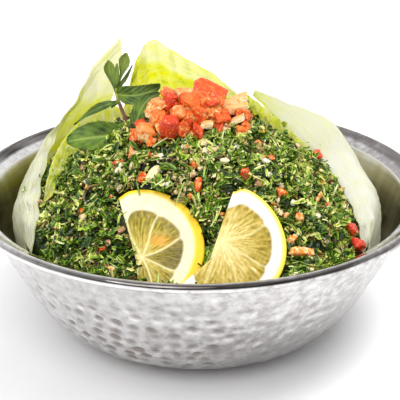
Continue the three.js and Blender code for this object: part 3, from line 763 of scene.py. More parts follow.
# A leaf's middle surface. Along it u runs from one end to the other; across it v runs on a smooth
# path from the lip over the crest and the belly down to the foot on the bowl's wall. A sine along the
# lip, raised veins and soft crumples are added along the way out from the bowl's axis.
def leafSurface(leaf):
    u = np.linspace(0, 1, leafGrid["along"])
    v = np.linspace(0, 1, leafGrid["across"]) ** leafGrid["towardsLip"]
    lip, crest = smoothPath(leaf["lip"], u), smoothPath(leaf["crest"], u)
    turn = leaf["foot"][0] + (leaf["foot"][1] - leaf["foot"][0]) * u
    height = leafGrid["footHeight"]
    base = polar(innerRadius(height) - leafGrid["footGap"], turn, height)
    crestTurn = np.degrees(np.arctan2(crest[:, 1], crest[:, 0]))
    bellyTurn = turn + ((crestTurn - turn + 180) % 360 - 180) / 2
    bellyRadius = np.maximum(leafGrid["belly"][0], np.hypot(crest[:, 0], crest[:, 1]) + 0.6)
    belly = polar(bellyRadius, bellyTurn, np.minimum(leafGrid["belly"][1], crest[:, 2] - 9))
    middle = smoothPath(np.stack([lip, crest, belly, base]), v)
    depth, count = leaf["ripple"]
    along, across = np.meshgrid(u, v)
    calm = ease(np.minimum(along, 1 - along), 0.0, leafGrid["calmEnds"])
    ripple = leafGrid["rippleShare"] * depth * calm * np.sin(2 * np.pi * count * along + 3 * across)
    ripple = ripple * ease(1 - across, 0.35, 0.8)
    veins = leafVeins(along, across, leaf["seed"])
    crumple = calm * layeredWaves(middle, ((0.12, 9, leaf["seed"]), (0.45, 24, leaf["seed"] + 50)))
    outward = unit(middle * np.array([1, 1, 0]))
    raised = ripple + leafGrid["veinHeight"] * veins + crumple * ease(across, 0, 0.15)
    return middle + outward * raised[..., None], veins, along, across


# Veins run the leaf's length side by side and fork slowly: each is a narrow hump about the line
# v = start + slope * u, bent by a slow sine. The first third of the way across has the most.
def leafVeins(along, across, seed):
    rng = np.random.default_rng(seed)
    total = np.zeros_like(along)
    for start in np.concatenate([np.linspace(0.03, 0.34, 9), np.linspace(0.4, 0.95, 8)]):
        line = start + rng.normal(0, 0.008) + rng.normal(0, 0.05) * (along - 0.5)
        line = line + 0.01 * np.sin(2 * np.pi * (rng.uniform(0.8, 2.0) * along + rng.uniform()))
        width = rng.uniform(0.007, 0.013)
        total = np.maximum(total, rng.uniform(0.4, 1) * bell(across - line, width))
    return total


# Thin leaf: cream through lime to deep green by the tint plus blotches and streaks, with darker lines
# along it that are painted shade of furrows, a network of pale threads that shows where the tint is
# green, and pale veins. It is crinkled by a fine noise and lit through from behind, more so towards
# the top.
def lettuceSkin():
    material, shader = newMaterial("lettuceSkin", {
        "Roughness": 0.4, "Subsurface Weight": 1.0, "Subsurface Scale": 0.004,
        "Subsurface Radius": (1.0, 1.0, 1.0), "Specular IOR Level": 0.35,
    })
    uv = addNode(material, "TexCoord").outputs["UV"]
    tint, vein = attributeOf(material, "tint"), attributeOf(material, "vein")
    blotch = swing(material, noiseOf(material, 7.0, 5.0, 0.6), 0.6)
    streak = swing(material, noiseOf(material, 1.0, 4.0, 0.6, stretch=(7, 60, 1), coordinates=uv), 0.7)
    body = addRamp(material, plus(material, tint, plus(material, blotch, streak)), [
        (0.0, (0.97, 0.96, 0.82)), (0.2, (0.95, 0.95, 0.58)), (0.4, (0.87, 0.91, 0.16)),
        (0.6, (0.91, 0.89, 0.05)), (0.8, (0.5, 0.62, 0.02)), (1.0, (0.25, 0.4, 0.01)),
    ])
    # darker lines along the leaf: painted shade of furrows
    paintedGrooveShade = noiseOf(material, 1.0, 3.0, 0.5, stretch=(5, 38, 1), coordinates=uv)
    paintedGrooveShade = addRamp(material, paintedGrooveShade, [(0.47, (0, 0, 0)), (0.495, (1, 1, 1)), (0.52, (0, 0, 0))])
    body = mixColors(material, times(material, paintedGrooveShade, 0.35), body, (0.64, 0.7, 0.34))
    wobble = addNode(material, "TexNoise", {"Vector": uv, "Scale": 18.0}).outputs["Color"]
    bent = mixColors(material, 0.05, uv, wobble)
    bent = addNode(material, "Mapping", {"Vector": bent, "Scale": (12, 17, 1)}).outputs[0]
    cells = addNode(material, "TexVoronoi", {"Vector": bent, "Scale": 1.0}, feature="DISTANCE_TO_EDGE")
    threads = addRamp(material, cells.outputs["Distance"], [(0.0, (1, 1, 1)), (0.1, (0, 0, 0))])
    threads = times(material, threads, span(material, tint, 0.1, 0.5, 0.2, 0.55))
    body = mixColors(material, threads, body, (0.97, 0.96, 0.62))
    color = mixColors(material, times(material, vein, 0.75), body, (0.97, 0.97, 0.8))
    crinkle = addBump(material, noiseOf(material, 2.2, 5.0, 0.65), 0.4, 0.6)
    feed(material, shader, {"Base Color": color, "Normal": crinkle})
    thinness = span(material, axisOf(material, "Z"), 0.08, 0.112, 0.42, 0.8)
    through = addNode(material, "BsdfTranslucent", {"Color": color}).outputs[0]
    both = addNode(material, "MixShader", {0: thinness, 1: shader.outputs[0], 2: through}).outputs[0]
    material.node_tree.links.new(both, material.node_tree.nodes["Material Output"].inputs["Surface"])
    return material


lettuceMaterial = lettuceSkin()


# How green a leaf is over its surface, and its veins. On the back leaf the tint steps up below the pale
# rib that runs down from its peak, and a hump along the rib and streaks above it join the veins. The
# right leaf is greener at one end of its lip, and the tall part of the left one turns lime in stripes
# towards the salad.
def leafTint(name, middle, veins, along, across):
    x, z = middle[..., 0], middle[..., 2]
    if name == "back":
        rib = np.interp(x, *np.transpose(lettuce["back"]["rib"]))
        below = ease(rib - z, -3.5, 4)
        ridge = bell(rib - z, 1.3) * ease(x, -30, -22)
        streaks = 0.5 * bell(np.sin((z - rib) * 1.1), 0.35) * ease(z - rib, 0, 3)
        return 0.22 + 0.36 * below, np.maximum(np.maximum(veins * (1 - 0.6 * below), ridge), streaks)
    if name == "right":
        return 0.05 + 0.3 * ease(along, 0.75, 1.0) * ease(across, 0.3, 0.05), veins
    tall = ease(0.5 - along, 0, 0.1)
    low = tall * ease(104 - z, 0, 14)
    stripes = 0.5 + 0.5 * np.sin(60 * across + 9 * along)
    # the tall part is paler above the salad: painted light that stands for light shining through it
    return 0.15 + low * (0.12 + 0.3 * stripes) - 0.08 * tall * (1 - low), veins * (1 - 0.5 * low)


# One leaf: its middle surface with a thickness that falls off at the lip and at both ends.
def makeLeaf(name, leaf):
    middle, veins, along, across = leafSurface(leaf)
    full = np.minimum(ease(across, -0.02, 0.06), ease(np.minimum(along, 1 - along), -0.01, 0.02))
    edge = leafGrid["edgeShare"]
    points, faces = thickSheet(middle, leafGrid["thickness"] * (edge + (1 - edge) * full))
    tint, veins = leafTint(name, middle, veins, along, across)
    values = sheetValues(vein=veins, tint=tint + leafGrid["lipTint"] * bell(across, 0.018))
    makePiece("lettuce_leaf_" + name, points, faces, lettuceMaterial, "lettuce", ["lettuce_" + name],
              values=values, uv=sheetUv(along, across))
    return middle


leafMiddles = [makeLeaf(name, leaf) for name, leaf in lettuce.items()]

# Frills of the leaves' inner edges that lie on the salad: a path, and how far each reaches inwards.
frills = {
    "left": {
        "path": [(-60, 34, 89), (-66, 25, 84), (-70.5, 10, 78), (-72, -8, 72.5), (-71, -26, 68.5)],
        "reach": (12, 4), "ruffles": 9, "depth": 1.8, "seed": 71, "tint": 0.6, "node": "lettuce_left",
    },
    "right": {
        "path": [(24.5, 24, 106), (33, 18.5, 101), (42, 10.5, 94.5), (54, 1, 86)],
        "reach": (17, 7), "ruffles": 7, "depth": 2.2, "seed": 72, "tint": 0.5, "node": "lettuce_right",
    },
    "mint": {
        "path": [(-52, 38, 92), (-45, 37.5, 97), (-38, 37, 95), (-33, 37, 99)],
        "reach": (9, 9), "ruffles": 4, "depth": 2.0, "seed": 73, "tint": 0.4, "node": "lettuce_left",
    },
}
frillGrid = {"along": 150, "across": 22, "thickness": 0.7, "above": 1.6}


# A frill: from the path it reaches in over the heap, a little above it, by a length that two sines and
# chance make ragged, and rises and falls in a sine of ruffles that grow towards its free edge.
def makeFrill(name, frill):
    rng = np.random.default_rng(frill["seed"])
    u, v = np.linspace(0, 1, frillGrid["along"]), np.linspace(0, 1, frillGrid["across"])
    along, across = np.meshgrid(u, v)
    path = smoothPath(frill["path"], u)
    inward = unit(-path * np.array([1, 1, 0]) - np.array([0, 18, 0]))
    reach = frill["reach"][0] + (frill["reach"][1] - frill["reach"][0]) * u
    ragged = 1 + 0.22 * np.sin(2 * np.pi * 5.3 * u + 1) + 0.14 * np.sin(2 * np.pi * 13 * u)
    ragged = ragged + rng.normal(0, 0.03, len(u))
    middle = path[None] + inward[None] * (across * reach * ragged)[..., None]
    x, y = middle[..., 0], middle[..., 1]
    onHeap = crown(x, y) + lumps(x, y).clip(0) + frillGrid["above"]
    middle[..., 2] += (onHeap - middle[..., 2]) * ease(across, 0, 0.35)
    phase = 2 * np.pi * (frill["ruffles"] * along + 0.25 * np.sin(5 * along)) + 1.2 * across
    ruffle = frill["depth"] * (0.6 + np.sin(phase)) * ease(across, 0.1, 0.9)
    middle[..., 2] += ruffle + 0.3 * waves(middle, 4, frill["seed"])
    points, faces = thickSheet(middle, frillGrid["thickness"])
    rib = 0.35 * bell(np.sin(np.pi * (18 * along + 3 * across)), 0.22)
    tint = frill["tint"] + 0.12 * np.sin(phase) + 0.1 * across
    makePiece("lettuce_frill_" + name, points, faces, lettuceMaterial, "lettuce", [frill["node"]],
              values=sheetValues(vein=rib, tint=tint), uv=sheetUv(along, 0.2 * across))
    return middle


frillMiddles = [makeFrill(name, frill) for name, frill in frills.items()]
print("lettuce ready")


# A number at each end of a slice that fades inwards as a hump over the turn, for the first and the last.
def atEnds(turn, shares, widths):
    return shares[0] * bell(turn - turn[0], widths[0]) + shares[1] * bell(turn - turn[-1], widths[1])


# The plan and the levels of a half slice: straight lines from the pole on the back to the rim, an arc
# of half a turn round the rind and straight lines back to the pole on the face.
def sliceSection(wedge, turn, wobble):
    outer, depth, bevel = lemon["radius"], lemon["thickness"], lemon["bevel"]
    circle = np.stack([np.cos(turn), np.sin(turn)], axis=-1) * wobble[:, None]
    pole = np.array(wedge["pole"])
    rise = np.linspace(0.02, 1, lemon["rings"])
    inner = pole + rise[:, None, None] * ((outer - bevel) * circle - pole)
    rimTurn = np.radians(np.linspace(-90, 90, 9)[1:-1])
    rim = (outer - bevel + bevel * np.cos(rimTurn))[:, None, None] * circle
    rimHeight = -depth / 2 + np.sign(rimTurn) * (depth / 2 - bevel) + bevel * np.sin(rimTurn)
    levels = np.concatenate([np.full(len(inner), -depth), rimHeight, np.zeros(len(inner))])
    return np.concatenate([inner, rim, inner[::-1]]), levels[:, None]


# Faces of a half slice: the swept section, both cut ends with their caps, and the strip at the pole.
def sliceFaces(rowCount):
    columns, count = lemon["columns"], lemon["rings"]
    index = np.arange(rowCount * columns).reshape(-1, columns)
    faceArrays = [gridQuads(index)]
    for column, flip in ((0, 1), (columns - 1, -1)):
        backLine, frontLine = index[:count, column], index[::-1][:count, column]
        strip = np.column_stack([backLine[:-1], frontLine[:-1], frontLine[1:], backLine[1:]])
        faceArrays.append(strip[:, ::-flip])
        faceArrays.append(index[count - 1:-count + 1, column][None, ::flip])
    faceArrays.append(np.column_stack([index[0, 1:], index[0, :-1], index[-1, :-1], index[-1, 1:]]))
    return faceArrays


# A half slice: its section swept through the slice's angle, with a radius that wobbles by two sines
# and is worn at both ends. Membranes are humps at equal angles round the core; between them the flesh
# is sunk a little and carries long vesicles, which are waves stretched along the way out, and its
# edge lies at a share of the radius that is less at each membrane and end. The zest is widest towards
# one angle of the face, by the cosine of the angle from it.
def makeSlice(name, wedge, material):
    rng = np.random.default_rng(wedge["seed"])
    outer, depth, segment = lemon["radius"], lemon["thickness"], lemon["segment"]
    turn = np.radians(np.linspace(wedge["from"], wedge["to"], lemon["columns"]))
    wobble = 0.992 + 0.006 * np.sin(2 * turn + rng.uniform(0, 6))
    wobble = wobble + 0.003 * np.sin(5 * turn + rng.uniform(0, 6))
    wobble = wobble - atEnds(turn, wedge["worn"], (0.12, 0.12))
    plan, levels = sliceSection(wedge, turn, wobble)
    turnGrid = np.arctan2(plan[..., 1], plan[..., 0])
    share = np.hypot(plan[..., 0], plan[..., 1]) / outer
    even = share / wobble  # 1 all along the rind

    fromCore = plan - np.array(wedge["core"])
    coreTurn, coreReach = np.arctan2(fromCore[..., 1], fromCore[..., 0]), np.linalg.norm(fromCore, axis=-1)
    bentTurn = np.degrees(coreTurn) + 5 * np.sin(5 * share + 2 * coreTurn) - wedge["firstMembrane"]
    away = (segment / 2 - np.abs(bentTurn % segment - segment / 2)) * np.radians(1) * coreReach
    membrane = bell(away, 0.5) * wedge["membrane"]
    tone = np.take(wedge["tones"], np.floor(bentTurn / segment).astype(int), mode="wrap")
    fleshEdge = wedge["flesh"] + 0.03 * np.cos(turnGrid + 0.6) + 0.012 * np.sin(5 * turnGrid + wedge["seed"])
    fleshEdge = fleshEdge - atEnds(turn, (0.05, 0.07), (0.2, 0.16)) - 0.03 * bell(away, 1.6)
    flesh = ease(fleshEdge - even, -0.012, 0.035)
    stretched = np.stack([coreTurn * 15 + 0.08 * coreReach, coreReach * 0.24], axis=-1)
    rays = waves(stretched, 1.5, wedge["seed"], 20) * ease(coreReach, 1, 9)
    rays = rays + 0.5 * waves(fromCore, 2.3, wedge["seed"] + 3, 14)
    relief = flesh * (1 - membrane) * (lemon["vesicles"] * rays - lemon["fleshDepth"])

    zestStart, zestWider, widest = wedge["zest"]
    start = zestStart - zestWider * np.cos(turnGrid - np.radians(widest)).clip(0)
    onSide = (levels < -0.3) * ease(even, 0.9, 0.95)
    rind = np.maximum(ease(even, start - 0.08, start + 0.03), onSide)
    overRind = np.stack(np.broadcast_arrays(turnGrid * 28, levels), axis=-1)
    pits = 1 + ease(even, 0.955, 0.985) * lemon["pits"] * waves(overRind, 1.1, 77, 12) / outer
    side = np.where(levels >= -depth / 2, 1.0, -1.0)
    local = np.concatenate([plan * pits[..., None], (levels + side * relief)[..., None]], axis=-1)
    points = local.reshape(-1, 3) @ sliceMatrix(wedge).T + np.array(wedge["centre"])

    # the orange spot is a painted orange reflection
    reflectionX, reflectionY, reflectionShare = wedge["orangeReflection"]
    values = {
        "share": share, "flesh": flesh, "membrane": membrane * flesh, "rays": rays + tone, "rind": rind,
        "orangeReflection": reflectionShare * bell(plan[..., 0] - reflectionX, 5) * bell(plan[..., 1] - reflectionY, 2.6),
        "ripe": np.full(share.shape, wedge["ripe"]),
    }
    uv = np.column_stack([coreTurn.ravel() / np.pi, coreReach.ravel() / outer])
    makePiece("lemon_slice_" + name, points, sliceFaces(len(plan)), material, "lemon", ["lemon_" + name],
              values=values, uv=uv)


# Zest, pith and flesh by the slice's attributes. The flesh's tone is a sum of its rays, a fine noise
# along them and a share that falls outwards, so that it is pale at the core and darkest at the pith.
def lemonSkin():
    material, shader = newMaterial("lemonSkin", {
        "Subsurface Weight": 0.35, "Subsurface Scale": 0.003, "Subsurface Radius": (1.0, 0.85, 0.25),
        "Specular IOR Level": 0.25, "Coat Weight": 0.08, "Coat Roughness": 0.15,
    })
    labels = ("share", "flesh", "membrane", "rays", "rind", "ripe", "orangeReflection")
    share, flesh, membrane, rays, rind, ripe, orangeReflection = (attributeOf(material, label) for label in labels)
    uv = addNode(material, "TexCoord").outputs["UV"]
    fine = noiseOf(material, 1.0, 3.0, 0.6, stretch=(30, 7, 1), coordinates=uv)
    streak = plus(material, times(material, rays, 0.09), times(material, fine, 0.65))
    streak = plus(material, streak, span(material, share, 0.0, 0.8, 0.36, -0.12))
    olive = addRamp(material, streak, [
        (0.1, (0.1, 0.08, 0.005)), (0.36, (0.24, 0.19, 0.01)), (0.56, (0.42, 0.33, 0.03)),
        (0.8, (0.68, 0.58, 0.15)),
    ])
    pale = addRamp(material, streak, [
        (0.1, (0.26, 0.18, 0.016)), (0.3, (0.46, 0.34, 0.06)), (0.5, (0.67, 0.52, 0.17)),
        (0.74, (0.85, 0.74, 0.4)),
    ])
    pulp = mixColors(material, ripe, pale, olive)
    # painted orange reflection on the flesh
    pulp = mixColors(material, orangeReflection, pulp, (0.85, 0.4, 0.06))
    pulp = mixColors(material, times(material, membrane, 0.85), pulp, (0.84, 0.76, 0.4))
    mottled = noiseOf(material, 2.5)
    white = addRamp(material, mottled, [(0.3, (0.87, 0.85, 0.75)), (0.7, (0.9, 0.89, 0.84))])
    creamy = addRamp(material, mottled, [(0.3, (0.81, 0.71, 0.38)), (0.7, (0.86, 0.79, 0.52))])
    pith = mixColors(material, ripe, white, creamy)
    deep = addRamp(material, rind, [
        (0.1, (0.89, 0.83, 0.56)), (0.4, (0.9, 0.74, 0.17)), (0.85, (0.87, 0.55, 0.01)),
    ])
    light = addRamp(material, rind, [
        (0.1, (0.9, 0.88, 0.74)), (0.5, (0.9, 0.82, 0.4)), (1.0, (0.89, 0.68, 0.06)),
    ])
    zest = mixColors(material, ripe, light, deep)
    outer = mixColors(material, span(material, rind, 0.0, 0.2), pith, zest)
    color = mixColors(material, flesh, outer, pulp)
    rough = span(material, flesh, 0.0, 1.0, 0.5, 0.2)
    bump = addBump(material, fine, 0.2, 0.5)
    feed(material, shader, {"Base Color": color, "Roughness": rough, "Normal": bump})
    return material


lemonMaterial = lemonSkin()
for sliceName, wedge in lemonSlices.items():
    makeSlice(sliceName, wedge, lemonMaterial)
print("lemon slices ready")


mint = {
    "stem": [(-28, -5, 86), (-32, -1, 98), (-36, 2, 107), (-38, 3, 113), (-38.6, 4, 117)],
    "stemRadius": 0.85, "stemRings": 40, "thickness": 0.55, "along": 46, "across": 21,
    "teeth": 12, "sideVeins": 5.5,
}
# Each blade: its ends, the way its midrib bows, its half width, where its flat side looks, the two
# powers of its outline and how deeply its sides wave.
mintBlades = [
    {"base": (-31.6, -2.4, 94.6), "tip": (-61, -8, 93.6), "bow": (0, 0, 1.0), "half": 7.2,
     "look": (0, -1, 0.8), "shape": (1.15, 0.42), "wave": 0.16},
    {"base": (-37, 2.2, 109.5), "tip": (-58.5, 4, 97.8), "bow": (0, 0, 2.2), "half": 2.1,
     "look": (0.3, -0.6, 1), "shape": (0.7, 0.8), "wave": 0.3},
    {"base": (-37.6, 3, 113.4), "tip": (-17.5, 6, 116.6), "bow": (0, 0, -2.4), "half": 4.7,
     "look": (0, -1, 0.45), "shape": (0.62, 0.55), "wave": 0.14},
    {"base": (-28.4, -8, 96.4), "tip": (-17.5, -2, 115.6), "bow": (-3.2, 0, 2.6), "half": 4.2,
     "look": (-0.5, -1, 0.4), "shape": (0.85, 0.5), "wave": 0.1},
    {"base": (-38.4, 3.6, 114), "tip": (-41.8, 7, 128.6), "bow": (-0.6, 0, 0), "half": 3.0,
     "look": (0.4, -1, 0), "shape": (2.9, 1.05), "wave": 0.45},
    {"base": (-38.3, 4, 114.5), "tip": (-33, 7, 132.0), "bow": (0.3, 0, -0.6), "half": 2.7,
     "look": (-0.4, -1, 0), "shape": (2.7, 1.05), "wave": 0.45},
    {"base": (-38.4, 3.4, 116), "tip": (-37.4, 5, 127.5), "bow": (0, 0, 0), "half": 1.5,
     "look": (0, -1, 0.1), "shape": (0.9, 0.7), "wave": 0.25},
    {"base": (-38.2, 4.4, 115.8), "tip": (-30.5, 8, 126), "bow": (0, 0, -1.5), "half": 1.0,
     "look": (0.3, -1, 0.3), "shape": (0.8, 0.8), "wave": 0.1},
    {"base": (-37, 2.2, 110), "tip": (-40.5, 2, 107), "bow": (0, 0, 0.6), "half": 1.2,
     "look": (0, -1, 0.4), "shape": (0.8, 0.7), "wave": 0.1},
]


# A blade: its midrib bows from base to tip by 4 u (1 - u), its half width swells and tapers by
# sin(pi u^late)^blunt, with small saw teeth; its sides rise in a trough and wave, and paired side
# veins are sunk into it as humps.
def mintBlade(blade):
    u = np.linspace(0, 1, mint["along"])
    w = np.linspace(-1, 1, mint["across"])
    base, tip, bow, look = (np.array(blade[key], float) for key in ("base", "tip", "bow", "look"))
    ahead = unit(tip - base)
    side = unit(np.cross(look, ahead))
    up = unit(np.cross(ahead, side))
    along, across = np.meshgrid(u, w)
    late, blunt = blade["shape"]
    broad = 0.14 + 0.86 * np.sin(np.pi * along**late).clip(0) ** blunt
    broad = blade["half"] * broad * (1 - 0.3 * along**8)
    saw = 1 - (along * mint["teeth"]) % 1
    teeth = 1 - 0.08 * saw * ease(along, 0.1, 0.25) * (np.abs(across) > 0.95)
    pattern = (along - 0.45 * np.abs(across) ** 0.8) * mint["sideVeins"]
    vein = bell(pattern % 1 - 0.5, 0.11) * ease(np.abs(across), 0.03, 0.15) * (1 - 0.6 * along)
    rib = bell(across, 0.1)
    lift = 0.2 * across**2 - 0.05 * rib - 0.035 * vein
    lift = lift + 0.03 * np.cos(2 * np.pi * pattern) * np.abs(across)
    wave = blade["wave"] * np.sin(7 * along + 1.5 * np.sign(across)) * np.abs(across) ** 1.5
    lift = blade["half"] * (lift + wave)
    middle = base + along[..., None] * (tip - base) + 4 * (along * (1 - along))[..., None] * bow
    middle = middle + (across * broad * teeth)[..., None] * side + lift[..., None] * up
    points, faces = thickSheet(middle, mint["thickness"] * (1 - 0.6 * np.abs(across) ** 4))
    return points, faces, np.tile(np.maximum(0.55 * vein, rib).ravel(), 2)


# A round tube along a path: rings square to the path, its radius given at each ring.
def tubeAlong(path, radius, sides=10):
    ahead = unit(np.gradient(path, axis=0))
    side = unit(np.cross(ahead, np.array([0.3, 1.0, 0.1])))
    other = np.cross(ahead, side)
    turn = np.linspace(0, 2 * np.pi, sides, endpoint=False)
    ring = np.cos(turn)[None, :, None] * side[:, None] + np.sin(turn)[None, :, None] * other[:, None]
    rings = path[:, None] + ring * np.reshape(radius, (-1, 1, 1))
    return ringPoints(rings, path[0], path[-1]), ringFaces(len(path), sides)


# Deep green leaf, lighter near the sprig's top and yellower along its veins.
def mintLeafSkin():
    material, shader = newMaterial("mintLeafSkin", {
        "Roughness": 0.45, "Specular IOR Level": 0.35, "Subsurface Weight": 0.2, "Subsurface Scale": 0.001,
    })
    tone = addRamp(material, noiseOf(material, 5.0, 4.0), [
        (0.32, (0.016, 0.045, 0.004)), (0.66, (0.11, 0.2, 0.014)),
    ])
    young = span(material, axisOf(material, "Z"), 0.116, 0.126, 0.0, 0.45)
    tone = mixColors(material, young, tone, (0.3, 0.38, 0.06))
    vein = times(material, attributeOf(material, "vein"), 0.7)
    bump = addBump(material, noiseOf(material, 0.9, 3.0), 0.3, 0.7)
    color = mixColors(material, vein, tone, (0.34, 0.45, 0.09))
    feed(material, shader, {"Base Color": color, "Normal": bump})
    return material


# The stem runs from purple-brown to green by its height, mottled by a noise.
def mintStemSkin():
    material, shader = newMaterial("mintStemSkin", {"Roughness": 0.4})
    share = span(material, axisOf(material, "Z"), 0.09, 0.119)
    mottled = plus(material, share, swing(material, noiseOf(material, 3.0), 0.5))
    tone = addRamp(material, mottled, [
        (0.0, (0.05, 0.012, 0.012)), (0.6, (0.2, 0.07, 0.04)), (0.85, (0.45, 0.5, 0.08)),
    ])
    feed(material, shader, {"Base Color": tone})
    return material


# The blades in one piece, and the stem: a tube that thins upwards and swells at its knots, where a
# sine to the eighth power peaks.
def makeMint():
    points, faces, veins = joinBodies([mintBlade(blade) for blade in mintBlades])
    makePiece("mint_leaves", points, faces, mintLeafSkin(), "mint", ["mint_sprig"], values={"vein": veins})
    share = np.linspace(0, 1, mint["stemRings"])
    knots = np.sin(np.linspace(0, 9, mint["stemRings"])) ** 8
    radius = mint["stemRadius"] * (1.1 - 0.35 * share + 0.12 * knots)
    points, faces = tubeAlong(smoothPath(mint["stem"], share), radius)
    makePiece("mint_stem", points, faces, mintStemSkin(), "mint", ["mint_sprig"])


makeMint()
print("mint ready")


dice = {
    "grid": (25, 36), "square": 0.36,  # rings and columns of a die, and how round its edges are
    "skew": 0.11, "swell": 0.07, "roughLayers": ((0.05, 3.2, 1), (0.045, 1.3, 2)),
    "skinFrom": (0.55, 0.8),
    "topping": {
        "middle": (-1.5, -12.0), "turn": 19.0, "half": (26.0, 11.5), "rise": 12.5, "size": 7.0, "seed": 12,
        "layers": [(1.0, 0.12, 17), (0.78, 0.45, 11), (0.45, 0.72, 6)],  # reach, height and number
        "goldenTurn": 2.39996,
    },
}
# Dice that show: place and size in millimetres, turns in degrees, ripeness from pale 0 to deep red 1,
# how round the edges are and, where it isn't 1, how rough the faces are.
dieLabels = ("place", "size", "turns", "ripe", "square", "rough")
shownDice = [
    ((6.5, -5, 116.4), (16.5, 7.5, 3.8), (36, 30, 14), 0.62, 0.3),
    ((17, -8, 113.2), (17, 4.6, 3.6), (0, -20, 8), 0.0, 0.5),
    ((16, -11, 110.4), (12, 4.2, 3.6), (20, -8, 0), -0.05, 0.5),
    ((-12.4, -23.5, 105.8), (11.5, 11, 13), (5, 6, 20), 0.88, 1.45, 0.3),
    ((-22.5, -22.5, 103.2), (9.5, 7, 7), (30, 10, 10), 0.3, 0.5),
    ((-26.5, -21, 100.8), (7, 6, 5.5), (0, 25, 60), 0.55, 0.5),
    ((-19.5, -26, 100.4), (6.5, 5, 5.5), (0, 15, 20), 0.5, 0.5),
    ((-19.2, -13.5, 112.2), (8.5, 7.5, 8.5), (0, 14, 10), 0.22, 0.6),
    ((-18.4, -16.5, 107.2), (7, 6.5, 7.5), (20, 0, 40), 0.4, 0.5),
    ((-12, -13, 114.8), (6.5, 6, 7.5), (20, 15, 60), 0.9, 0.4),
    ((-13.4, -10.5, 118), (6, 5, 4.5), (10, 35, 20), 0.45, 0.5),
    ((-6.5, -11.5, 117.4), (6.8, 6, 5.6), (20, 15, 40), 0.2, 0.6),
    ((-4, -14.5, 114.4), (8, 6.5, 6.8), (35, 5, 15), 0.5, 0.5),
    ((1.6, -13, 115), (7.6, 7, 8), (10, 25, 70), 0.55, 0.5),
    ((-8.5, -18.5, 111.2), (6.5, 6, 6), (40, 10, 5), 0.3, 0.6),
    ((-3.5, -20, 109), (7.5, 6.5, 6.5), (5, 30, 25), 0.5, 0.5),
    ((1, -18.5, 110.8), (7, 6.5, 7.5), (15, 5, 50), 0.6, 0.5),
    ((6, -16.5, 111), (7.5, 6, 6), (0, 20, 15), 0.35, 0.6),
    ((8.5, -12.5, 114), (7, 6, 6), (25, 20, 0), 0.45, 0.5),
    ((11, -16.5, 108.6), (6.8, 6, 5.5), (45, 0, 30), 0.65, 0.5),
    ((4.2, -22, 106.8), (5, 4, 3.6), (0, 10, 0), -0.2, 0.6),
    ((0, -24, 105), (6, 5, 5), (20, 0, 80), 0.75, 0.5),
    ((-6.8, -23.5, 105.4), (6, 5, 6), (0, 40, 10), 0.6, 0.5),
    ((18.5, -15, 107), (9.5, 3.2, 3), (0, -26, 5), -0.3, 0.5),
    ((20, -11.5, 108.6), (7.5, 5, 4.6), (0, 20, 15), 0.45, 0.5),
    ((22, -15, 104), (6.5, 4.6, 4.6), (10, 40, 10), 0.5, 0.5),
    ((19.5, -19, 102.4), (5.5, 4, 4), (10, 0, 50), 0.4, 0.5),
    ((-25.5, -14, 104), (7, 5, 4), (0, -20, 20), 0.8, 0.5),
]


# A die of soft fruit: a sphere's directions squared off to a box by taking sines and cosines to a
# small power, skewed a little, trimmed by three flat cuts that stand at a share of its reach, swollen
# by long waves and roughened by short ones. Its top is the skin.
def makeDie(die, seed):
    rng = np.random.default_rng(seed)
    rows, columns = die.get("grid", dice["grid"])
    rise = np.radians(np.linspace(-90, 90, rows + 2)[1:-1])[:, None]
    turn = np.linspace(0, 2 * np.pi, columns, endpoint=False)
    power = 0.7 * die.get("square", dice["square"]) * rng.uniform(0.9, 1.1)
    directions = (np.cos(rise), np.sin(rise), np.cos(turn), np.sin(turn))
    cosRise, sinRise, cosTurn, sinTurn = (np.sign(value) * np.abs(value) ** power for value in directions)
    rings = np.stack(np.broadcast_arrays(cosRise * cosTurn, cosRise * sinTurn, sinRise), axis=-1)
    box = ringPoints(rings, (0, 0, -1), (0, 0, 1))
    skew = np.eye(3) + rng.normal(0, dice["skew"], (3, 3))
    size = np.array(die["size"]) / 2
    shaped = (box @ skew.T) * size * (1 + dice["swell"] * waves(box, 2.0, seed)[:, None])
    rough = die.get("rough", 1.0)
    for cutFrom in unit(rng.normal(size=(3, 3))):
        reach = shaped @ cutFrom
        kept = rng.uniform(1 - 0.4 * rough, 1 - 0.15 * rough) * reach.max()
        shaped -= (reach - kept).clip(0)[:, None] * cutFrom
    depth = rough * (min(die["size"]) * rng.uniform(0.6, 1.3))
    layers = [(share, wavelength, seed + more) for share, wavelength, more in dice["roughLayers"]]
    shaped += unit(box) * (depth * layeredWaves(shaped, layers))[:, None]
    points = shaped @ turnMatrix(die["turns"]).T + np.array(die["place"])
    skin = ease(box[:, 2], *dice["skinFrom"])
    return points, ringFaces(rows, columns), np.column_stack([np.full(len(box), die["ripe"]), skin])


# Further dice fill the topping in layers: number k lies at the golden turn times k and the square root
# of its share, over an oval that rises towards the middle.
def fillingDice():
    setup = dice["topping"]
    rng = np.random.default_rng(setup["seed"])
    found = []
    for layer, (reach, height, count) in enumerate(setup["layers"]):
        number = np.arange(count)
        out = np.sqrt((number + 0.5) / count) * reach
        angle = number * setup["goldenTurn"] + layer
        along, aside = setup["half"][0] * out * np.cos(angle), setup["half"][1] * out * np.sin(angle)
        x, y = alongAside(along, aside, -setup["turn"])
        x, y = x + setup["middle"][0], y + setup["middle"][1]
        z = crown(x, y) + setup["rise"] * height
        for place in zip(x, y, z):
            edge = setup["size"] * rng.uniform(0.75, 1.15)
            size = (edge * rng.uniform(0.9, 1.3), edge, edge * rng.uniform(0.7, 1))
            turns, ripe = rng.uniform(0, 360, 3), rng.uniform(0.25, 0.9)
            found.append({"place": place, "size": size, "turns": turns, "ripe": ripe})
    return found


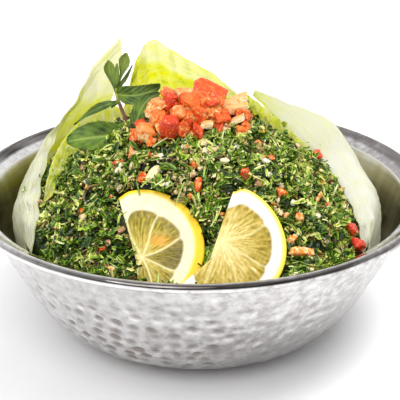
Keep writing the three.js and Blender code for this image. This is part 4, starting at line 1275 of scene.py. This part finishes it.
# Wet fruit. The cut side's tone is the ripeness plus a cloudy noise, from cream over salmon to red;
# the skin side is a plainer red. Whitish specks lie where a fine noise is high: pale pulp and painted
# wet glints.
def tomatoSkin():
    material, shader = newMaterial("tomatoFlesh", {
        "Subsurface Weight": 0.35, "Subsurface Scale": 0.0025, "Subsurface Radius": (1.0, 0.35, 0.1),
        "Specular IOR Level": 0.3, "Coat Weight": 0.15, "Coat Roughness": 0.1,
    })
    ripe, skin = attributeOf(material, "ripe"), attributeOf(material, "skin")
    cloud = noiseOf(material, 2.1, 5.0, 0.66)
    flesh = addRamp(material, plus(material, ripe, swing(material, cloud, 2.9)), [
        (0.0, (0.9, 0.7, 0.42)), (0.17, (0.89, 0.48, 0.15)), (0.4, (0.86, 0.24, 0.02)),
        (0.68, (0.72, 0.06, 0.004)), (1.0, (0.56, 0.025, 0.008)),
    ])
    deep = addRamp(material, ripe, [
        (0.0, (0.86, 0.36, 0.09)), (0.5, (0.78, 0.11, 0.01)), (1.0, (0.62, 0.028, 0.01)),
    ])
    color = mixColors(material, times(material, skin, 0.75), flesh, deep)
    fleck = noiseOf(material, 0.8, 3.0, 0.65)
    # whitish specks: pale pulp and painted wet glints
    flecksAndGlints = addRamp(material, fleck, [(0.56, (0, 0, 0)), (0.68, (1, 1, 1))])
    flecksAndGlints = times(material, flecksAndGlints, span(material, skin, 0.0, 1.0, 0.6, 0.25))
    color = mixColors(material, flecksAndGlints, color, (0.95, 0.66, 0.42))
    rough = span(material, cloud, 0.0, 1.0, 0.15, 0.4)
    bump = addBump(material, fleck, 0.5, 0.8)
    feed(material, shader, {"Base Color": color, "Roughness": rough, "Normal": bump})
    return material


# The topping: the shown dice and the filling ones in one piece.
def makeTopping():
    allDice = [dict(zip(dieLabels, die)) for die in shownDice] + fillingDice()
    points, faces, values = joinBodies([makeDie(die, 100 + k) for k, die in enumerate(allDice)])
    values = {"ripe": values[:, 0], "skin": values[:, 1]}
    makePiece("tomato_dice", points, faces, tomatoFlesh, "tomato", ["tomato_topping"], values=values)


tomatoFlesh = tomatoSkin()
makeTopping()
print("tomato dice ready")


# Loose kinds, each with its number, its sizes, the lift of the lowest and the highest copy, the spread
# of its tilt and the range of its shade. With beta the shade is drawn by those two powers and grows by
# a share towards the layer's top: painted shade that darkens the lower copies. Offsets are added to the
# shade of a copy's points, over and over: painted light at its outer points and painted shade at its
# middle.
curledLeaf = {"beta": (0.6, 0.95), "depthShade": 0.35, "withered": 0.12, "edgeLight": [0.44, -0.26, 0.3, -0.26]}
chopped = {
    "parsley_shreds": {
        **curledLeaf, "count": 5000, "length": (4.5, 9.5), "width": (1.4, 3.0), "curl": 1.8,
        "lift": (-2.6, 1.0), "spread": 0.6, "seed": 61, "shade": (0.0, 0.75),
    },
    "parsley_curls": {
        **curledLeaf, "count": 4800, "length": (3.5, 7.5), "width": (1.0, 2.3), "curl": 2.6,
        "lift": (-1.4, 2.4), "spread": 0.85, "seed": 62, "shade": (0.05, 0.95),
    },
    "parsley_threads": {
        **curledLeaf, "count": 2400, "length": (4.0, 8.5), "width": (0.6, 1.4), "curl": 2.4,
        "lift": (-0.8, 2.6), "spread": 0.8, "seed": 67, "shade": (0.1, 1.0),
    },
    "parsley_leaflets": {
        "count": 1700, "size": (2.6, 5.6), "points": 11, "lift": (-0.8, 2.0), "spread": 0.6, "seed": 63,
        "shade": (0, 1), "beta": (1.2, 2.0), "depthShade": 0.3,
        "edgeLight": [-0.1] + [0.28, -0.04] * 5 + [0.2, -0.2],
    },
    "parsley_stems": {
        "count": 420, "length": (5, 12), "width": (0.6, 0.9), "curl": 0.7,
        "lift": (0.3, 2.6), "spread": 0.3, "seed": 64, "shade": (0, 1), "edgeLight": [0.0],
    },
    "bulgur_grains": {
        "count": 1500, "radius": (0.4, 0.85), "stretch": (1.25, 0.95, 0.8), "middle": (-2, -38),
        "reach": (34, 16), "lift": (-0.4, 2.2), "spread": 0.6, "seed": 65, "shade": (0, 1), "edgeLight": [0.0],
    },
}
smallBits = {
    "count": 300, "size": (1.4, 3.4), "middle": (-2, -34), "reach": (36, 15), "seed": 66, "square": 0.9,
    "largeGrid": (11, 18), "smallGrid": (4, 8), "largeLift": 1.5, "smallLift": 0.9, "firstSeed": 500,
    "roomNeeded": 4,
}
heapLayer = {
    "reach": 97.0, "leastRoom": 0.5, "density": 0.45, "strays": 0.14,
    "cell": 2.0, "cells": 120,  # millimetres, and their number each way
    "onFrill": 0.93, "onBit": 0.9,  # how likely a place on one is blocked
    "besideFace": 1.15, "besideBack": 0.6, "behind": 0.9,  # room round a lemon slice
    "sightLine": (23.0, 0.43),  # height and rise of the view over the bowl's front rim
    "underTomato": 0.72, "atLeaf": 2.5, "lean": 0.25, "frontHalf": 50,
}
# Larger bits in plain sight: place, size in millimetres, spin over the heap in degrees, and colour,
# which for tomato runs from pale 0 to deep red 1, and for onion and stalk from cream 0 to brown 1.
shownBits = {
    "tomato": [
        ((-41, -28), (6, 4, 3), 30, 0.35), ((-48.4, -33.5), (4.5, 3.5, 3), 70, 0.4),
        ((-29, -26.8), (9, 2.4, 2.4), 75, 0.4), ((-23.5, -37.5), (6.5, 5.6, 4.4), 20, 0.6),
        ((-40.5, -61.8), (3, 2.6, 2.4), 0, 0.5), ((-35.9, -70.4), (4, 3, 3), 40, 0.1),
        ((0.4, -45.2), (7, 4, 3.4), 95, 0.55), ((21, -38.4), (6, 4.5, 3.4), 140, 0.75),
        ((35.9, -41.4), (5, 4.4, 3), 30, 0.45), ((53.4, -34.6), (10, 2.4, 2), 80, 0.35),
        ((56.1, -0.5), (8, 4, 4), 110, 0.8), ((68, -43.3), (7.5, 6, 4.6), 60, 0.95),
        ((70.2, -50.6), (6.5, 6, 4.4), 20, 1.0), ((46.4, -63.9), (17, 4.4, 3.4), 14, 0.3),
        ((44.3, -50.6), (4.5, 3.6, 3), 0, 0.3), ((40.2, -60.2), (5, 4, 3), 70, 0.3),
        ((33, -25), (7, 4, 3), 60, 0.5), ((27, -20), (5, 4, 3), 10, 0.35),
    ],
    "onion": [
        ((-16, -32), (5.5, 3.4, 2.2), 80, 0.1), ((-19, -38.6), (10, 5, 2.6), 62, 0.34),
        ((-71.9, -22.3), (4, 2.6, 2), 0, 0.8), ((-52.3, -15.9), (5, 2.6, 2), 60, 0.75),
        ((-33.3, -57.1), (3.6, 2.4, 2), 50, 0.8), ((-47.2, -64.9), (3, 2.4, 2), 0, 1.0),
        ((25.7, -42.8), (6, 3, 2.4), 120, 0.7), ((12, -37), (4, 3, 2.4), 35, 0.25),
        ((3, -31), (4.4, 3, 2.4), 100, 0.3), ((7, -41), (3.4, 2.6, 2.2), 40, 0.3),
        ((30, -31), (4.5, 3.4, 2.4), 20, 0.0), ((-36, -20), (6, 4, 2.4), 20, 0.5),
    ],
}


# How far the heap is open at a turn: to where the first leaf meets the crown, the least radius, in
# bins of one degree, of the leaves' points that are no more than a little above the crown.
def openReach(turn):
    points = np.vstack([middle.reshape(-1, 3) for middle in leafMiddles])
    low = points[points[:, 2] < crown(points[:, 0], points[:, 1]) + heapLayer["atLeaf"]]
    bins = (np.degrees(np.arctan2(low[:, 1], low[:, 0])) % 360).astype(int)
    reach = np.full(360, 1000.0)
    np.minimum.at(reach, bins, np.hypot(low[:, 0], low[:, 1]))
    return np.minimum(reach[(turn % 360).astype(int)], heapReach(turn, heap["edge"]))


# The plan's cell that a place lies in: its distance over the cell's width, counted from the middle.
def cellOf(distance):
    return (distance / heapLayer["cell"] + heapLayer["cells"] / 2).astype(int)


# How likely a place is blocked in each cell of the plan: under the frills and the larger bits.
def blockedCells():
    cells = np.zeros((heapLayer["cells"], heapLayer["cells"]))
    for middle in frillMiddles:
        cells[cellOf(middle[..., 0]), cellOf(middle[..., 1])] = heapLayer["onFrill"]
    places = (np.arange(heapLayer["cells"]) - (heapLayer["cells"] - 1) / 2) * heapLayer["cell"]
    for bits in shownBits.values():
        for (x, y), size, spin, _ in bits:
            along, aside = alongAside(places[:, None] - x, places - y, spin)
            cells[(np.abs(along) < size[0] / 2) & (np.abs(aside) < size[1] / 2)] = heapLayer["onBit"]
    return cells


# Whether a place is taken by a slice: within its outline widened by a margin, from a little behind its
# back to 5 before its face. Up to 30 before it the place is kept clear too where it is in view, which
# is above the line height - rise * y over the bowl's front rim.
def takenBySlice(points, wedge):
    local = (points - np.array(wedge["centre"])) @ sliceMatrix(wedge)
    depth = local[:, 2]
    height, rise = heapLayer["sightLine"]
    inView = points[:, 2] > height - rise * points[:, 1]
    near = (depth > -lemon["thickness"] - heapLayer["behind"]) & (depth < 30) & ((depth < 5) | inView)
    margin = np.where(depth > -4.5, heapLayer["besideFace"], heapLayer["besideBack"])
    return withinSlice(local, wedge, margin) & near


# How much room a place has to the bowl or a leaf: open reach minus radius, and at the front a share of
# its height over the heap's edge more, as the bowl widens. It is -1 where the place can't be used: at
# a lemon slice, under the tomato, or, for most places, on a frill or a larger bit.
def roomAt(points, rng, cells):
    x, y, z = points.T
    turn = np.degrees(np.arctan2(y, x))
    atFront = turnFrom(turn, -90) < heapLayer["frontHalf"]
    wider = heapLayer["lean"] * np.maximum(z - heap["edge"], 0) * atFront
    room = openReach(turn) + wider - np.hypot(x, y)
    blocked = rng.uniform(0, 1, len(x)) < cells[cellOf(x), cellOf(y)]
    for wedge in lemonSlices.values():
        blocked |= takenBySlice(points, wedge)
    setup = dice["topping"]
    along, aside = alongAside(x - setup["middle"][0], y - setup["middle"][1], setup["turn"])
    share = (along / setup["half"][0]) ** 2 + (aside / setup["half"][1]) ** 2
    return np.where(blocked | (share < heapLayer["underTomato"]), -1.0, room)


# Random places over the crown, evenly by its sloping area, at a lift along the normal. With a middle
# and a reach, most places are drawn in towards that oval by a hump. Also gives each place's normal,
# its room and how high in the layer it lies, 0 to 1.
def heapPlaces(rng, count, lift, middle=None, reach=None):
    cells = blockedCells()
    strays = heapLayer["strays"]
    found = []
    total = 0
    while total < count:
        flat = rng.uniform(-heapLayer["reach"], heapLayer["reach"], (count * 3, 2))
        x, y = flat.T
        normal = crownNormal(x, y)
        chance = heapLayer["density"] / normal[:, 2]
        if middle:
            chance *= strays + (1 - strays) * bell(x - middle[0], reach[0]) * bell(y - middle[1], reach[1])
        take = (rng.uniform(0, 1, len(x)) < chance) & (np.hypot(x, y) < heapLayer["reach"] - 1)
        x, y, normal = x[take], y[take], normal[take]
        level = rng.uniform(0, 1, len(x))
        base = np.stack([x, y, crown(x, y) + lumps(x, y)], axis=-1)
        points = base + normal * (lift[0] + (lift[1] - lift[0]) * level)[:, None]
        room = roomAt(points, rng, cells)
        keep = room > heapLayer["leastRoom"]
        found.append(np.column_stack([points, normal, room, level])[keep])
        total += keep.sum()
    found = np.vstack(found)[:count]
    return found[:, :3], found[:, 3:6], found[:, 6], found[:, 7]


# Random frames: the third axis leans from the normal by the spread, the first turns freely.
def randomFrames(rng, normal, spread):
    up = unit(normal + rng.normal(0, spread, normal.shape))
    first = unit(np.cross(up, rng.normal(size=normal.shape)))
    return np.stack([first, np.cross(up, first), up], axis=-1)


# Curled strips: the middle line is an arc of the given curl, the half width falls by 1.1 |s|^2.2 to
# its ends and changes by chance, the strip twists along the way, and its section is a thin lens
# folded along the middle.
def curledStrips(rng, kind, stations=5, thin=0.16):
    count = kind["count"]
    s = np.linspace(-0.5, 0.5, stations)[None]
    length = rng.uniform(*kind["length"], (count, 1))
    curl = rng.normal(0, kind["curl"], (count, 1))
    curl = np.where(np.abs(curl) < 0.05, 0.05, curl)
    angle = curl * s
    level = np.zeros_like(angle)
    twist = (rng.normal(0, 0.8, (count, 1)) * s)[..., None]
    line = np.stack([length * np.sin(angle) / curl, level, length * (1 - np.cos(angle)) / curl], axis=-1)
    lift = np.stack([-np.sin(angle), level, np.cos(angle)], axis=-1)
    flat = np.broadcast_to(np.array([0.0, 1.0, 0.0]), line.shape)
    side = np.cos(twist) * flat + np.sin(twist) * lift
    up = np.cos(twist) * lift - np.sin(twist) * flat
    taper = 1 - 1.1 * np.abs(s) ** 2.2
    half = rng.uniform(*kind["width"], (count, 1)) / 2 * taper * rng.uniform(0.6, 1.25, (count, stations))
    fold = up * (rng.uniform(0.2, 1.1, (count, 1)) * half)[..., None]
    reach = side * half[..., None]
    section = [reach + fold, up * thin, -reach + fold, -up * thin]
    own = np.stack([line + corner for corner in section], axis=2).reshape(count, stations * 4, 3)
    index = np.arange(stations * 4).reshape(stations, 4)
    return own, [np.vstack([gridQuads(index, wrap=True), index[0][None, ::-1], index[-1][None]])]


# Leaflets: an outline of radius size * (1 + 0.3 cos(3 turn) + chance), narrower one way, bent and
# folded, closed by one point above and one below its middle.
def lobedLeaflets(rng, kind, thin=0.18):
    count, corners = kind["count"], kind["points"]
    turn = np.linspace(0, 2 * np.pi, corners, endpoint=False)[None]
    size = rng.uniform(*kind["size"], (count, 1)) / 2
    lobes = 1 + 0.3 * np.cos(3 * turn + rng.uniform(0, 6.3, (count, 1)))
    lobes = lobes + rng.normal(0, 0.14, (count, corners))
    radius = size * lobes.clip(0.3)
    narrow = rng.uniform(0.45, 0.95, (count, 1))
    x, y = radius * np.cos(turn), radius * np.sin(turn) * narrow
    bend, fold = rng.normal(0, 0.5, (count, 1)), rng.uniform(0.1, 0.8, (count, 1))
    z = bend * x**2 / size * 0.8 + fold * np.abs(y) + rng.normal(0, 0.12, (count, corners)) * size
    middle = np.zeros((count, 1, 3))
    above = np.array([0, 0, thin])
    own = np.concatenate([middle - above, np.stack([x, y, z], axis=-1), middle + above], axis=1)
    return own, [ringFaces(1, corners)[1]]


# Rough grains: an icosahedron's points pushed in and out, stretched along one axis.
def roughGrains(rng, kind):
    turn = np.arange(5) * 72
    rings = np.stack([polar(0.894, turn, -0.447), polar(0.894, turn + 36, 0.447)])
    ball = ringPoints(rings, (0, 0, -1), (0, 0, 1))
    size = rng.uniform(*kind["radius"], (kind["count"], 1, 1))
    own = ball[None] * size * np.array(kind["stretch"])
    own = own * rng.uniform(0.8, 1.2, (kind["count"], len(ball), 1))
    quads, fans = ringFaces(2, 5)
    return own, [np.vstack([fans, quads[:, [0, 1, 2]], quads[:, [0, 2, 3]]])]


# Shade of the salad by place: slow patches, and painted light that makes it a little lighter towards
# the back and the right.
def patchShade(places):
    return 0.2 * waves(places, 9, 95) + 0.0007 * places[:, 0] + 0.0012 * (places[:, 1] + 44)


# One piece of many copies of a kind. Each is shrunk to room / reach where it has less room than half
# its length, turned into its frame and moved to its place. Its shade is drawn from the kind's range,
# plus painted shade by its height in the layer, plus the patches with their painted light, plus the
# offsets of its own points, painted light at its outer points and painted shade at its middle.
def scatterKind(name, makeCopies, material, smooth=False):
    kind = chopped[name]
    count = kind["count"]
    rng = np.random.default_rng(kind["seed"])
    oval = (kind.get("middle"), kind.get("reach"))
    places, normals, room, level = heapPlaces(rng, count, kind["lift"], *oval)
    own, faces = makeCopies(rng, kind)
    low, high = kind["shade"]
    if "beta" in kind:
        shade = rng.beta(*kind["beta"], count) * (high - low) + low
        # painted shade: copies low in the layer are darker
        shade = shade + kind["depthShade"] * (level - 0.6) + patchShade(places)
    else:
        shade = rng.uniform(low, high, count)
    frames = randomFrames(rng, normals, kind["spread"])
    warm = rng.uniform(0, 1, count) < kind.get("withered", 0)
    reach = np.abs(own).max(axis=(1, 2)) + 0.2
    own = own * np.clip(room / reach, 0.3, 1)[:, None, None]
    points = np.einsum("nij,nkj->nki", frames, own) + places[:, None]
    pointCount = own.shape[1]
    # painted light at each copy's outer points and painted shade at its middle
    shades = shade[:, None] + np.resize(kind["edgeLight"], pointCount)
    values = {"shade": shades, "warm": np.repeat(warm, pointCount)}
    faces = repeatFaces(faces, count, pointCount)
    makePiece(name, points.reshape(-1, 3), faces, material, "salad", ["tabbouleh"], smooth, values)


# Moist chopped leaf: from near black green to pale yellow-green by shade plus a mottle, with a wet
# gloss. Where warm is 1 the leaf is withered, brown to tan.
def parsleySkin():
    material, shader = newMaterial("parsleySkin", {
        "Roughness": 0.4, "Specular IOR Level": 0.45, "Coat Weight": 0.25, "Coat Roughness": 0.2,
    })
    level = plus(material, attributeOf(material, "shade"), swing(material, noiseOf(material, 1.8), 0.5))
    tone = addRamp(material, level, [
        (0.0, (0.008, 0.022, 0.003)), (0.25, (0.03, 0.08, 0.005)), (0.5, (0.1, 0.22, 0.008)),
        (0.72, (0.28, 0.43, 0.02)), (0.9, (0.56, 0.62, 0.08)), (1.0, (0.8, 0.78, 0.3)),
    ])
    withered = addRamp(material, level, [
        (0.1, (0.04, 0.025, 0.006)), (0.5, (0.24, 0.16, 0.035)), (0.9, (0.55, 0.42, 0.14)),
    ])
    color = mixColors(material, attributeOf(material, "warm"), tone, withered)
    bump = addBump(material, noiseOf(material, 0.7), 0.12, 0.5)
    feed(material, shader, {"Base Color": color, "Normal": bump})
    return material


# Small pale food: shade plus a light mottle runs through the stops.
def bitSkin(name, coat, roughness, stops):
    material, shader = newMaterial(name, {
        "Roughness": roughness, "Coat Weight": coat, "Subsurface Weight": 0.2, "Subsurface Scale": 0.001,
    })
    level = plus(material, attributeOf(material, "shade"), swing(material, noiseOf(material, 1.3), 0.3))
    bump = addBump(material, noiseOf(material, 0.5), 0.1, 0.5)
    feed(material, shader, {"Base Color": addRamp(material, level, stops), "Normal": bump})
    return material


# A bit is a small die that lies on the heap: its first side runs at the spin over the plan, laid
# square to a normal that leans a little.
def layBit(place, size, spin, ripe, lift, grid, seed):
    x, y = np.array(place, float)[:, None]
    up = unit(crownNormal(x, y)[0] + np.random.default_rng(seed).normal(0, 0.2, 3))
    ahead = np.array([math.cos(math.radians(spin)), math.sin(math.radians(spin)), 0])
    first = unit(ahead - (ahead @ up) * up)
    die = {"place": (0, 0, 0), "size": size, "turns": (0, 0, 0), "ripe": ripe, "grid": grid,
           "square": smallBits["square"]}
    points, faces, values = makeDie(die, seed)
    points = points @ np.stack([first, np.cross(up, first), up]) + up * lift
    return points + np.array([x[0], y[0], (crown(x, y) + lumps(x, y))[0]]), faces, values


# The larger bits, then smaller ones at random places with room, every fifth of them tomato.
def layBits():
    rng = np.random.default_rng(smallBits["seed"])
    bodies = {"tomato": [], "onion": []}
    seed = smallBits["firstSeed"]
    for name, bits in shownBits.items():
        for bit in bits:
            bodies[name].append(layBit(*bit, smallBits["largeLift"], smallBits["largeGrid"], seed))
            seed += 5
    oval = (smallBits["middle"], smallBits["reach"])
    places, _, room, _ = heapPlaces(rng, smallBits["count"], (0, 1), *oval)
    for k in np.flatnonzero(room > smallBits["roomNeeded"]):
        size = rng.uniform(*smallBits["size"])
        size = size * np.array([rng.uniform(1, 1.6), 1, rng.uniform(0.6, 0.9)])
        bit = (places[k, :2], size, rng.uniform(0, 180), rng.uniform(0.05, 0.65))
        name = "onion" if k % 5 else "tomato"
        bodies[name].append(layBit(*bit, smallBits["smallLift"], smallBits["smallGrid"], seed))
        seed += 5
    return bodies


# The two pieces of bits. Their colour is both ripeness and shade, and no side of them is skin.
def makeBits(onionSkin):
    skins = {"tomato": (tomatoFlesh, "tomato"), "onion": (onionSkin, "salad")}
    for name, bodies in layBits().items():
        points, faces, values = joinBodies(bodies)
        labels = {"ripe": values[:, 0], "shade": values[:, 0], "skin": np.zeros(len(points))}
        makePiece(name + "_bits", points, faces, *skins[name], ["tabbouleh"], values=labels)


parsley = parsleySkin()
for pieceName in ("parsley_shreds", "parsley_curls", "parsley_threads"):
    scatterKind(pieceName, curledStrips, parsley)
scatterKind("parsley_leaflets", lobedLeaflets, parsley)
scatterKind("parsley_stems", curledStrips, bitSkin("parsleyStemSkin", 0.3, 0.35, [
    (0.0, (0.12, 0.26, 0.03)), (0.6, (0.4, 0.52, 0.1)), (1.0, (0.68, 0.72, 0.34)),
]))
scatterKind("bulgur_grains", roughGrains, bitSkin("bulgurSkin", 0.2, 0.35, [
    (0.0, (0.38, 0.22, 0.06)), (0.45, (0.66, 0.5, 0.18)), (1.0, (0.88, 0.8, 0.46)),
]), smooth=True)
makeBits(bitSkin("onionSkin", 0.3, 0.3, [
    (0.0, (0.86, 0.83, 0.62)), (0.35, (0.78, 0.64, 0.36)), (0.7, (0.45, 0.24, 0.1)),
    (1.0, (0.2, 0.09, 0.04)),
]))
print("loose salad ready")
